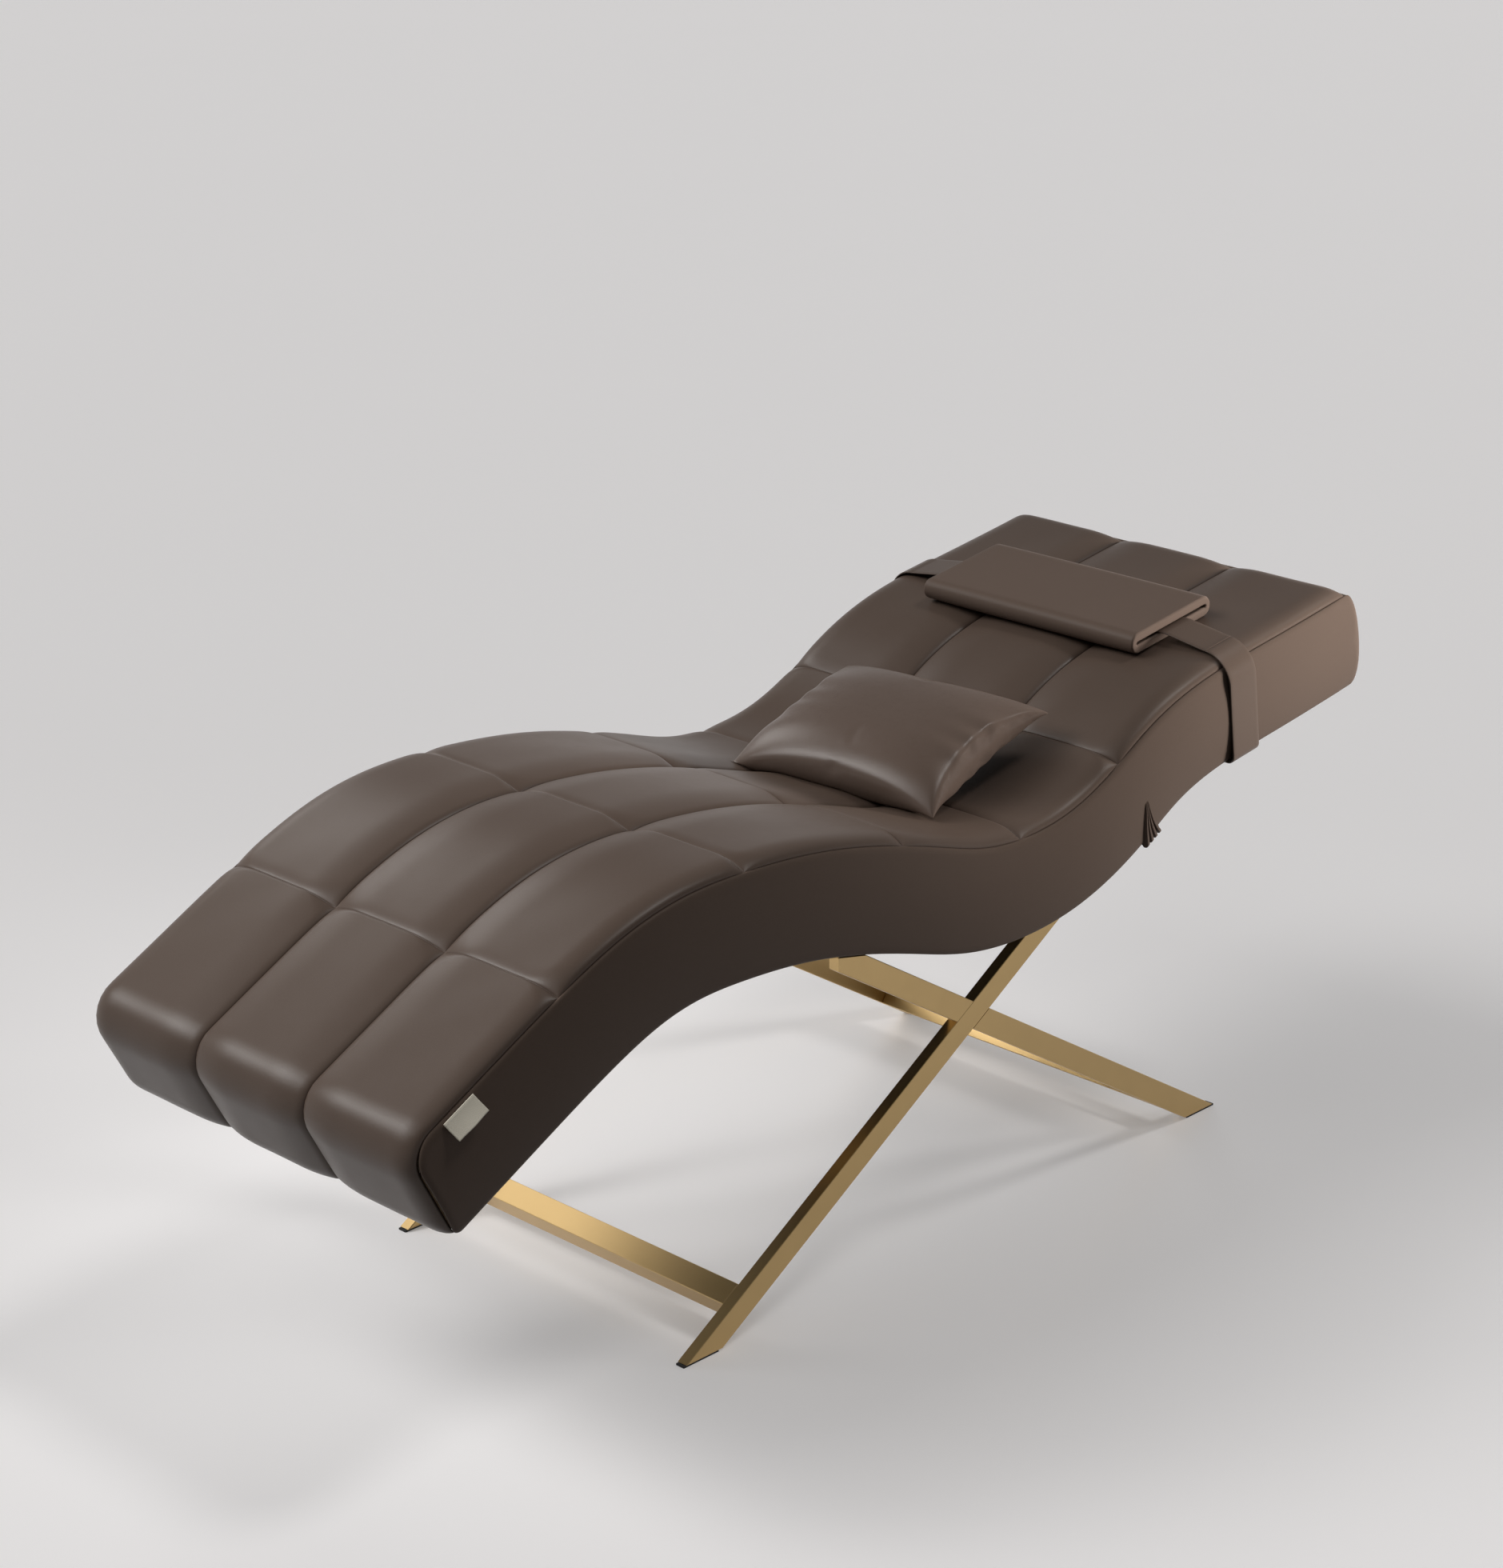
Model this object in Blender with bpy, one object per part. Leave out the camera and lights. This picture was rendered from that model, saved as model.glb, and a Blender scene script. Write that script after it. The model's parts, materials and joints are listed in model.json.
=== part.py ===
"""Eyelash extension bed: a quilted S-shaped couch on a welded X frame.

The foot end lies at -Y and the head end at +Y, the width runs along X, and the feet stand on z = 0.
Everything in the couch follows one side profile: a curve along the top side seam, from which each layer
is set off square to the curve.  "Down" below means inwards from that curve, "out" means past its end.
"""
import math

import bmesh
import bpy
import numpy as np
from mathutils import Matrix, Vector
from mathutils.bvhtree import BVHTree

# Couch body
BODY_LENGTH = 1.908
BODY_WIDTH = 0.650
BODY_TOP = 0.778
BODY_THICKNESS = 0.148
NOSE_RADIUS = 0.040
TOE_RADIUS = 0.012
HEAD_REACH = 0.0275
BODY_SET_BACK = 0.0034
FIT_GAP = 0.0003

# Side profile of the top seam from the foot end to the head end, and the cross seams on it
PROFILE_SHARES = (
    (0.0150, 0.6557), (0.0784, 0.7368), (0.1351, 0.8064), (0.1891, 0.8600), (0.2413, 0.8872),
    (0.3027, 0.8900), (0.3646, 0.8774), (0.4333, 0.8447), (0.4986, 0.7981), (0.5469, 0.7646),
    (0.5951, 0.7556), (0.6434, 0.7723), (0.6860, 0.8134), (0.7314, 0.8747), (0.7797, 0.9199),
    (0.8365, 0.9485), (0.8989, 0.9701), (0.9784, 0.9993),
)
SEAM_SHARES = (0.1261, 0.2967, 0.4560, 0.5855, 0.6973, 0.8365)
FIRST_ROW_STEP_SHARES = (0.0, 0.30, 0.60, 0.82, 0.94)
ROW_STEP_SHARES = (0.0, 0.07, 0.24, 0.5, 0.76, 0.93)
HEAD_SUPERELLIPSE = 3

# Quilted cover
COLUMNS = 3
SEAM_HEIGHT = 0.004
CROWN = 0.012
CROWN_POWER = 4
TOE_WRAP = math.radians(135)

# Layers under the cover
PANEL_THICKNESS = 0.006
FOAM_BASE_THICKNESS = 0.040
DECK_THICKNESS = 0.012
BOARD_THICKNESS = 0.012
SLAT_THICKNESS = 0.018
SLAT_ROWS = (1, 3, 5, 6)
COVER_THICKNESS = 0.0015
COVER_RECESS = 0.0025
COVER_CUTOUT_CLEARANCE = 0.004

# X frame
CROSSING_DROP = 0.2396
FRAME_INSET = 0.031
FRAME_SET_BACK = 0.1034
LEG_ANGLE = math.radians(31.5)
BAR_DEPTH = 0.036
BAR_THICKNESS = 0.018
BAR_EDGE = 0.0008
LEG_END_REACH = 0.2805
STRETCHER_RISE = 0.041
GLIDE_THICKNESS = 0.0027
GLIDE_MARGIN = 0.003

# Mounting of the frame under the couch
MOUNT_SLAT_THICKNESS = 0.024
MOUNT_SLAT_LENGTH = 0.100
PLATE_LENGTH = 0.088
PLATE_WIDTH = 0.072
PLATE_THICKNESS = 0.005
PLATE_EDGE_MARGIN = 0.003
BOLT_SIDES = 6
BOLT_SPACING = 0.062
BOLT_INSET = 0.016
BOLT_RADIUS = 0.004
BOLT_HEAD_RADIUS = 0.0072
BOLT_HEAD_HEIGHT = 0.005
BOLT_LENGTH = 0.024
BOLT_CLEARANCE = 0.0006
NUT_BARREL_RADIUS = 0.0062
NUT_FLANGE_RADIUS = 0.0095
NUT_FLANGE_THICKNESS = 0.0016
NUT_LENGTH = 0.012

# Head pad and its strap
PAD_WIDTH = 0.412
PAD_DEPTH = 0.188
PAD_THICKNESS = 0.032
PAD_SEAT_CLEARANCE = 0.0005
PAD_SLOT_MARGIN = 0.012
STRAP_WIDTH = 0.062
STRAP_THICKNESS = 0.0024
STRAP_SLOT_CLEARANCE = 0.0008
STRAP_TOP_CLEARANCE = 0.0035
STRAP_SIDE_STANDOFF = 0.008
STRAP_UNDER_CLEARANCE = 0.0035
STRAP_CORNER_RADIUS = 0.022
STRAP_UNDER_RADIUS = 0.012
STRAP_DROP_SHARE = 0.6
STRAP_LAND_SHARE = 0.7
HEADREST_TRAVEL = 0.120

# Loose pillow
PILLOW_WIDTH = 0.376
PILLOW_DEPTH = 0.288
PILLOW_THICKNESS = 0.112
PILLOW_EDGE = 0.004
PILLOW_SIDE_PULL = 0.016
PILLOW_SET_RIGHT = 0.031
PILLOW_SET_BACK = 0.2084
PILLOW_TILT = math.radians(11)
PILLOW_TURN = math.radians(4)
PILLOW_CORNER_DROOP = 0.010

# Sewn-in tag
TAG_WIDTH = 0.054
TAG_DROP = 0.040
TAG_THICKNESS = 0.0016
TAG_CURL = 0.0075
TAG_SEAM_SHARE = 0.0354

# Bellows pleats in the lower edge of the side panels
PLEAT_HEIGHT = 0.064
PLEAT_TOP_WIDTH = 0.008
PLEAT_BOTTOM_WIDTH = 0.038
PLEAT_LEAN = 0.008
PLEAT_PROUD = 0.0075
PLEAT_HEM = 0.011
PLEAT_FOLDS = 4
PLEAT_VALLEY_SHARE = 0.3
PLEAT_SHARE = 0.700

HALF_WIDTH = BODY_WIDTH / 2
BOARD_OUTER = HALF_WIDTH - PANEL_THICKNESS - FIT_GAP
BOARD_INNER = BOARD_OUTER - BOARD_THICKNESS
INNER_HALF_WIDTH = BOARD_INNER - FIT_GAP
TOPPER_FLOOR = NOSE_RADIUS
BASE_FLOOR = TOPPER_FLOOR + FIT_GAP + FOAM_BASE_THICKNESS
DECK_FLOOR = BASE_FLOOR + FIT_GAP + DECK_THICKNESS
FRAME_WIDTH = BODY_WIDTH - 2 * FRAME_INSET
FRAME_HALF_WIDTH = FRAME_WIDTH / 2
FOOT_PRINT = BAR_DEPTH / math.sin(LEG_ANGLE)
LEG_FOOT_Z = GLIDE_THICKNESS + FIT_GAP

for old in list(bpy.data.objects):
    bpy.data.objects.remove(old, do_unlink=True)


def finish(name, colour, roughness, metallic=0.0):
    """A Principled material with one colour, roughness and metallic value."""
    material = bpy.data.materials.new(name)
    material.use_nodes = True
    shader = material.node_tree.nodes["Principled BSDF"]
    shader.inputs["Base Color"].default_value = (*colour, 1.0)
    shader.inputs["Roughness"].default_value = roughness
    shader.inputs["Metallic"].default_value = metallic
    return material


LEATHER = finish("taupe_leather", (0.105, 0.080, 0.066), 0.45)
PAD_LEATHER = finish("pad_leather", (0.095, 0.074, 0.060), 0.42)
PILLOW_LEATHER = finish("pillow_leather", (0.085, 0.066, 0.055), 0.33)
BRASS = finish("satin_brass", (0.52, 0.38, 0.19), 0.30, 1.0)
STEEL = finish("zinc_steel", (0.55, 0.55, 0.56), 0.38, 1.0)
FOAM = finish("cream_foam", (0.78, 0.74, 0.60), 0.95)
PLYWOOD = finish("birch_plywood", (0.62, 0.46, 0.28), 0.60)
DUST_CLOTH = finish("black_cover_cloth", (0.020, 0.020, 0.022), 0.90)
RUBBER = finish("black_rubber", (0.025, 0.025, 0.025), 0.80)
TAG_CLOTH = finish("cream_tag_cloth", (0.74, 0.69, 0.56), 0.85)


def mesh_object(name, points, faces, material, place=None):
    """A named object from points and faces, with its faces turned outwards."""
    mesh = bpy.data.meshes.new(name)
    mesh.from_pydata([tuple(map(float, point)) for point in points], [], faces)
    form = bmesh.new()
    form.from_mesh(mesh)
    bmesh.ops.recalc_face_normals(form, faces=form.faces)
    form.to_mesh(mesh)
    form.free()
    mesh.materials.append(material)
    thing = bpy.data.objects.new(name, mesh)
    bpy.context.scene.collection.objects.link(thing)
    if place is not None:
        thing.matrix_world = place
    return thing


def bevelled(thing, width):
    """Break every edge of a box-like piece with one flat bevel."""
    bevel = thing.modifiers.new("edge", "BEVEL")
    bevel.width = width
    bevel.segments = 1
    bevel.limit_method = "ANGLE"
    bevel.use_clamp_overlap = False
    return thing


def cut_from(thing, cutters):
    """Cut each cutter from the piece; the cutters stay as hidden guides."""
    for cutter in cutters:
        cutter.hide_render = True
        cutter.display_type = "WIRE"
        cut = thing.modifiers.new("cut", "BOOLEAN")
        cut.operation = "DIFFERENCE"
        cut.object = cutter
    return thing


def prism(name, outline, x0, x1, material):
    """Carry a convex (y, z) outline from x0 to x1."""
    count = len(outline)
    points = [(x0, y, z) for y, z in outline] + [(x1, y, z) for y, z in outline]
    faces = [tuple(range(count)), tuple(range(count, 2 * count))]
    faces += [(i, (i + 1) % count, (i + 1) % count + count, i + count) for i in range(count)]
    return mesh_object(name, points, faces, material)


def box(name, size, centre, place, material):
    """A box of the given size about a centre, both in the local frame of a placing matrix."""
    corners = [(sx * size[0] / 2 + centre[0], sy * size[1] / 2 + centre[1], sz * size[2] / 2 + centre[2])
               for sx in (-1, 1) for sy in (-1, 1) for sz in (-1, 1)]
    faces = [(0, 1, 3, 2), (4, 6, 7, 5), (0, 4, 5, 1), (2, 3, 7, 6), (0, 2, 6, 4), (1, 5, 7, 3)]
    return mesh_object(name, corners, faces, material, place)


def turned(radii_and_heights, sides, centre, hollow=False):
    """Points and faces of a profile turned about a local Z axis; a hollow profile is closed on itself."""
    angles = [2 * math.pi * k / sides for k in range(sides)]
    points = [(centre[0] + r * math.cos(a), centre[1] + r * math.sin(a), centre[2] + h)
              for r, h in radii_and_heights for a in angles]
    rings = len(radii_and_heights)
    last = rings if hollow else rings - 1
    faces = []
    for i in range(last):
        low, high = i * sides, (i + 1) % rings * sides
        faces += [(low + k, low + (k + 1) % sides, high + (k + 1) % sides, high + k) for k in range(sides)]
    if not hollow:
        faces += [tuple(range(sides)), tuple(range((rings - 1) * sides, rings * sides))]
    return points, faces


def joined(parts):
    """Put several point and face lists into one list of points and one of faces."""
    points, faces = [], []
    for some_points, some_faces in parts:
        faces += [tuple(i + len(points) for i in face) for face in some_faces]
        points += some_points
    return points, faces


def clipped(outline, point, away):
    """The part of a convex (y, z) outline on the side of a line that the direction away leaves behind."""
    kept = []
    depth = [(y - point[0]) * away[0] + (z - point[1]) * away[1] for y, z in outline]
    for i, here in enumerate(outline):
        there = outline[(i + 1) % len(outline)]
        if depth[i] <= 0:
            kept.append(here)
        if depth[i] * depth[(i + 1) % len(outline)] < 0:
            part = depth[i] / (depth[i] - depth[(i + 1) % len(outline)])
            kept.append(tuple(a + part * (b - a) for a, b in zip(here, there)))
    return kept


# Side profile

def natural_spline(knots):
    """Cubic through the knots with unbent ends; gives height and slope at any y."""
    y, z = np.array(knots).T
    gap = np.diff(y)
    rise = np.diff(z) / gap
    system = np.eye(len(y))
    load = np.zeros(len(y))
    for i in range(1, len(y) - 1):
        system[i, i - 1:i + 2] = gap[i - 1], 2 * (gap[i - 1] + gap[i]), gap[i]
        load[i] = 6 * (rise[i] - rise[i - 1])
    bend = np.linalg.solve(system, load)

    def height_and_slope(at):
        i = np.clip(np.searchsorted(y, at) - 1, 0, len(gap) - 1)
        step, before, after = gap[i], y[i + 1] - at, at - y[i]
        low, high = bend[i], bend[i + 1]
        height = ((low * before ** 3 + high * after ** 3) / (6 * step)
                  + (z[i] / step - low * step / 6) * before
                  + (z[i + 1] / step - high * step / 6) * after)
        slope = (high * after ** 2 - low * before ** 2) / (2 * step) + rise[i] - (high - low) * step / 6
        return height, slope

    return height_and_slope


def along(share):
    """Place along the couch's length of a share counted from its foot end."""
    return (share - 0.5) * BODY_LENGTH + BODY_SET_BACK


TOP_CURVE = natural_spline([(along(s), h * BODY_TOP) for s, h in PROFILE_SHARES])
FOOT_END = along(PROFILE_SHARES[0][0])
HEAD_END = along(PROFILE_SHARES[-1][0])
ROW_ENDS = [FOOT_END] + [along(s) for s in SEAM_SHARES] + [HEAD_END]


def curve_frame(y):
    """Point, unit tangent towards the head and unit normal upwards on the top seam at y."""
    height, slope = TOP_CURVE(y)
    tangent = np.array([1.0, slope]) / math.hypot(1.0, slope)
    return np.array([y, height]), tangent, np.array([-tangent[1], tangent[0]])


def stations():
    """Places along the top seam where every layer has a cross-section, closer beside each cross seam."""
    places = []
    for row, (start, end) in enumerate(zip(ROW_ENDS[:-1], ROW_ENDS[1:])):
        steps = ROW_STEP_SHARES if row else FIRST_ROW_STEP_SHARES
        places += [start + share * (end - start) for share in steps]
    return places + [ROW_ENDS[-1]]


STATIONS = stations()
FRAMES = [curve_frame(y) for y in STATIONS]


def foot_point(out, down):
    """A point past the foot end of the top seam, in the straight line of its end."""
    point, tangent, normal = FRAMES[0]
    return point - out * tangent - down * normal


def head_point(out, down):
    """A point past the head end of the top seam, in the straight line of its end."""
    point, tangent, normal = FRAMES[-1]
    return point + out * tangent - down * normal


def arc(centre, radius, start, end, steps):
    """Points and outward normals of an arc at the foot end; its angle is 0 upwards and 90 at the foot face."""
    _, tangent, normal = FRAMES[0]
    turns = np.linspace(start, end, steps + 1)
    outward = [math.cos(a) * normal - math.sin(a) * tangent for a in turns]
    return [centre + radius * way for way in outward], outward


def layer(down, first=0, last=None):
    """The top seam's stations moved inwards by one depth."""
    return [point - down * normal for point, _, normal in FRAMES[first:last]]


def head_outline(inset, steps=8):
    """Convex head end from top to bottom: a superellipse half as deep as the body is thick."""
    points = []
    for a in np.linspace(0, math.pi, steps + 1):
        down = inset + (BODY_THICKNESS - 2 * inset) * (1 - math.cos(a)) / 2
        bulge = max(0.0, 1 - abs(math.cos(a)) ** HEAD_SUPERELLIPSE) ** (1 / HEAD_SUPERELLIPSE)
        points.append(head_point((HEAD_REACH - inset) * bulge, down))
    return points[1:-1]


def foot_outline(inset):
    """Foot end from top to bottom: the round nose, the flat face and the tight toe."""
    nose, _ = arc(foot_point(0, NOSE_RADIUS), NOSE_RADIUS - inset, 0, math.pi / 2, 5)
    toe_centre = foot_point(NOSE_RADIUS - TOE_RADIUS, BODY_THICKNESS - TOE_RADIUS)
    toe, _ = arc(toe_centre, TOE_RADIUS - inset, math.pi / 2, math.pi, 4)
    return nose[1:] + toe


def profile_plate(name, top, foot, bottom, head, x0, x1, material):
    """Carry a closed side profile from x0 to x1.

    top and bottom hold one point at each station, so the side walls are quads between them, and the
    points round the foot and head ends each close one flat face.
    """
    count = len(top)
    ring = top[::-1] + foot + bottom + head
    points = [(x0, y, z) for y, z in ring] + [(x1, y, z) for y, z in ring]
    total = len(ring)
    low = count + len(foot)
    faces = [(i, (i + 1) % total, (i + 1) % total + total, i + total) for i in range(total)]
    for side in (0, total):
        for i in range(count - 1):
            faces.append(tuple(side + k for k in (i, i + 1, low + count - 2 - i, low + count - 1 - i)))
        if foot:
            faces.append(tuple(side + k for k in range(count - 1, low + 1)))
        if head:
            faces.append(tuple(side + k for k in list(range(low + count - 1, total)) + [0]))
    return mesh_object(name, points, faces, material)


def crown_share(part):
    """Height of a puffed panel across one direction: 0 at its seams and 1 at its middle."""
    return 1 - abs(2 * part - 1) ** CROWN_POWER


# Quilted cover, one piece from the head end over the nose to the toe

def cover_path():
    """Points, normals and lengths along the cover from the toe up the foot face and along the top."""
    toe_centre = foot_point(NOSE_RADIUS - TOE_RADIUS, BODY_THICKNESS - TOE_RADIUS)
    toe, toe_ways = arc(toe_centre, TOE_RADIUS, TOE_WRAP, math.pi / 2, 2)
    nose, nose_ways = arc(foot_point(0, NOSE_RADIUS), NOSE_RADIUS, math.pi / 2, 0, 5)
    face = [toe[-1] + share * (nose[0] - toe[-1]) for share in ROW_STEP_SHARES[2:5]]
    points = toe + face + nose[:-1] + [point for point, _, _ in FRAMES]
    ways = toe_ways + [nose_ways[0]] * len(face) + nose_ways[:-1] + [normal for _, _, normal in FRAMES]
    steps = [0.0] + [float(np.linalg.norm(b - a)) for a, b in zip(points, points[1:])]
    return np.array(points), np.array(ways), np.cumsum(steps)


def row_crowns(points, lengths):
    """Crown share at each point of the path; the first row runs from the toe to the first cross seam."""
    ends = [0.0]
    for y in ROW_ENDS[1:]:
        nearest = len(points) - len(STATIONS) + int(np.argmin([abs(s - y) for s in STATIONS]))
        ends.append(lengths[nearest])
    crowns = []
    for length in lengths:
        row = min(max(int(np.searchsorted(ends, length, side="right")) - 1, 0), len(ends) - 2)
        crowns.append(crown_share((length - ends[row]) / (ends[row + 1] - ends[row])))
    return crowns


def column_places():
    """Place across the width and crown share of each line of points along the cover."""
    places = []
    for column in range(COLUMNS):
        for share in ROW_STEP_SHARES:
            places.append((BODY_WIDTH * ((column + share) / COLUMNS - 0.5), crown_share(share)))
    return places + [(HALF_WIDTH, 0.0)]


def quilted_cover():
    """Grid of puffed panels over a plain underside that lies on the layers below."""
    points, ways, lengths = cover_path()
    rows = row_crowns(points, lengths)
    columns = column_places()
    across = len(columns)
    grid = []
    for point, way, row in zip(points, ways, rows):
        for x, column in columns:
            y, z = point + (SEAM_HEIGHT + CROWN * row * column) * way
            grid.append((x, y, z))
    under = len(grid)
    grid += [(side * HALF_WIDTH, y, z) for y, z in points for side in (-1, 1)]
    faces = []
    for i in range(len(points) - 1):
        a, b = i * across, (i + 1) * across
        faces += [(a + k, a + k + 1, b + k + 1, b + k) for k in range(across - 1)]
        c, d = under + 2 * i, under + 2 * i + 2
        faces += [(c, d, d + 1, c + 1), (a, b, d, c), (a + across - 1, c + 1, d + 1, b + across - 1)]
    end = (len(points) - 1) * across
    faces.append(tuple(range(across)) + (under + 1, under))
    faces.append(tuple(range(end, end + across)) + (len(grid) - 1, len(grid) - 2))
    return mesh_object("quilted_cover", grid, faces, LEATHER)


QUILT = quilted_cover()

# Side panels, padded head end, foam and boards

for side, word in ((-1, "left"), (1, "right")):
    x_out = side * HALF_WIDTH
    x_in = side * (HALF_WIDTH - PANEL_THICKNESS)
    profile_plate("side_panel_" + word, layer(FIT_GAP), foot_outline(FIT_GAP),
                  layer(BODY_THICKNESS - FIT_GAP), head_outline(FIT_GAP)[::-1],
                  min(x_in, x_out), max(x_in, x_out), LEATHER)

head_skin = [head_point(FIT_GAP, FIT_GAP)] + head_outline(FIT_GAP)
head_skin.append(head_point(FIT_GAP, BODY_THICKNESS - FIT_GAP))
prism("head_end_panel", head_skin, -BOARD_OUTER, BOARD_OUTER, LEATHER)

FOOT_FACE = NOSE_RADIUS - FIT_GAP
BOARD_FLOOR = BODY_THICKNESS - COVER_RECESS + COVER_THICKNESS
topper_nose, _ = arc(foot_point(0, NOSE_RADIUS), FOOT_FACE, 0, math.pi / 2, 5)
profile_plate("foam_topper", layer(FIT_GAP), topper_nose[1:], layer(TOPPER_FLOOR), [],
              -BOARD_OUTER, BOARD_OUTER, FOAM)

for side, word in ((-1, "left"), (1, "right")):
    x_out = side * BOARD_OUTER
    x_in = side * BOARD_INNER
    profile_plate("side_board_" + word, layer(TOPPER_FLOOR + FIT_GAP),
                  [foot_point(FOOT_FACE, TOPPER_FLOOR + FIT_GAP),
                   foot_point(FOOT_FACE, BODY_THICKNESS - TOE_RADIUS),
                   foot_point(FOOT_FACE - TOE_RADIUS, BOARD_FLOOR)],
                  layer(BOARD_FLOOR), [], min(x_in, x_out), max(x_in, x_out), PLYWOOD)

BOARD_END = BOARD_THICKNESS + FIT_GAP
prism("foot_board", [foot_point(FOOT_FACE - BOARD_THICKNESS, TOPPER_FLOOR + FIT_GAP),
                     foot_point(FOOT_FACE, TOPPER_FLOOR + FIT_GAP),
                     foot_point(FOOT_FACE, BODY_THICKNESS - TOE_RADIUS),
                     foot_point(FOOT_FACE - BOARD_THICKNESS, BODY_THICKNESS - TOE_RADIUS)],
      -INNER_HALF_WIDTH, INNER_HALF_WIDTH, PLYWOOD)
prism("head_board", [head_point(-BOARD_THICKNESS, TOPPER_FLOOR + FIT_GAP),
                     head_point(0, TOPPER_FLOOR + FIT_GAP), head_point(0, BOARD_FLOOR),
                     head_point(-BOARD_THICKNESS, BOARD_FLOOR)],
      -INNER_HALF_WIDTH, INNER_HALF_WIDTH, PLYWOOD)


def between_boards(name, above, below, material):
    """A layer between the two depths, from the foot board to the head board."""
    foot_reach = FOOT_FACE - BOARD_END
    return profile_plate(name, layer(above, 0, -1) + [head_point(-BOARD_END, above)],
                         [foot_point(foot_reach, above), foot_point(foot_reach, below)],
                         layer(below, 0, -1) + [head_point(-BOARD_END, below)], [],
                         -INNER_HALF_WIDTH, INNER_HALF_WIDTH, material)


between_boards("foam_base", TOPPER_FLOOR + FIT_GAP, BASE_FLOOR, FOAM)
between_boards("deck_board", BASE_FLOOR + FIT_GAP, DECK_FLOOR, PLYWOOD)

# Each cross slat fills one straight stretch between two stations in the middle of a row
MIDDLE_STEP = ROW_STEP_SHARES.index(0.5)
for number, row in enumerate(SLAT_ROWS, 1):
    first = len(FIRST_ROW_STEP_SHARES) + (row - 1) * len(ROW_STEP_SHARES) + MIDDLE_STEP
    top = layer(DECK_FLOOR + FIT_GAP, first, first + 2)
    bottom = layer(DECK_FLOOR + FIT_GAP + SLAT_THICKNESS, first, first + 2)
    prism("cross_slat_" + str(number), top[::-1] + bottom, -INNER_HALF_WIDTH, INNER_HALF_WIDTH, PLYWOOD)

# X frame

def seat_under_deck(y, length):
    """Placing matrix on the deck's underside at y: local Y along it, local Z square to it.

    The seat is lowered until no corner of the faceted underside within the length reaches below it.
    """
    point, tangent, normal = curve_frame(y)
    origin = point - (DECK_FLOOR + FIT_GAP) * normal
    underside = layer(DECK_FLOOR + FIT_GAP)
    seat = 0.0
    for here, there in zip(underside, underside[1:]):
        for share in np.linspace(0, 1, 33):
            offset = here + share * (there - here) - origin
            if abs(offset @ tangent) <= length / 2:
                seat = min(seat, float(offset @ normal))
    origin = origin + seat * normal
    return (Matrix.Translation((0, origin[0], origin[1]))
            @ Matrix.Rotation(math.atan2(tangent[1], tangent[0]), 4, "X"))


def lowered(place, down):
    """The same placing matrix moved down its own Z axis."""
    return place @ Matrix.Translation((0, 0, -down))


PLATE_SEAT = MOUNT_SLAT_THICKNESS + FIT_GAP
BAR_SEAT = PLATE_SEAT + PLATE_THICKNESS + FIT_GAP
FRONT_MOUNT_Y = FRAME_SET_BACK - LEG_END_REACH + BAR_DEPTH / 2
REAR_MOUNT_Y = FRAME_SET_BACK + LEG_END_REACH - MOUNT_SLAT_LENGTH / 2
FRONT_SEAT = seat_under_deck(FRONT_MOUNT_Y, MOUNT_SLAT_LENGTH)
REAR_SEAT = seat_under_deck(REAR_MOUNT_Y, MOUNT_SLAT_LENGTH)
CROSSING_HEIGHT = FRONT_SEAT.translation.z - CROSSING_DROP
FOOT_REACH = CROSSING_HEIGHT / math.tan(LEG_ANGLE)


def plane_of(place):
    """A point on and the upward normal of a placing matrix's floor, in the (y, z) plane."""
    normal = place.to_3x3() @ Vector((0, 0, 1))
    return (place.translation.y, place.translation.z), (normal.y, normal.z)


def leg_outline(foot_side, widened=0.0, seat=None):
    """A leg from its level foot up to its upright end past the crossing, there cut off under its seat."""
    direction = np.array([-foot_side * math.cos(LEG_ANGLE), math.sin(LEG_ANGLE)])
    square = np.array([-direction[1], direction[0]])
    half = BAR_DEPTH / 2 + widened
    foot = np.array([FRAME_SET_BACK + foot_side * FOOT_REACH, 0.0])
    crossing = np.array([FRAME_SET_BACK, CROSSING_HEIGHT])
    edges = (-half * square, half * square)
    past = [crossing + edges[0], crossing + edges[0] + BODY_LENGTH * direction,
            crossing + edges[1] + BODY_LENGTH * direction, crossing + edges[1]]
    past = clipped(past, (FRAME_SET_BACK - foot_side * LEG_END_REACH, 0.0), (-foot_side, 0.0))
    if seat is not None:
        past = clipped(past, *plane_of(seat))
    feet = [foot + edge + (LEG_FOOT_Z - edge[1]) / direction[1] * direction for edge in edges]
    return [tuple(point) for point in [feet[0]] + past[1:-1] + [feet[1]]]


def leg(name, foot_side, side, seat):
    """One leg bar; where the two legs of a side cross, each gives up half its thickness."""
    x_out = side * FRAME_HALF_WIDTH
    x_in = side * (FRAME_HALF_WIDTH - BAR_THICKNESS)
    x_mid = (x_out + x_in) / 2
    bar = bevelled(prism(name, leg_outline(foot_side, seat=seat), min(x_in, x_out), max(x_in, x_out), BRASS),
                   BAR_EDGE)
    given_up = side * foot_side
    lap_from = x_mid - given_up * FIT_GAP / 2
    lap_to = x_mid + given_up * BAR_THICKNESS
    lap = prism(name + "_lap", leg_outline(-foot_side, FIT_GAP), min(lap_from, lap_to),
                max(lap_from, lap_to), BRASS)
    return cut_from(bar, [lap])


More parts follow.
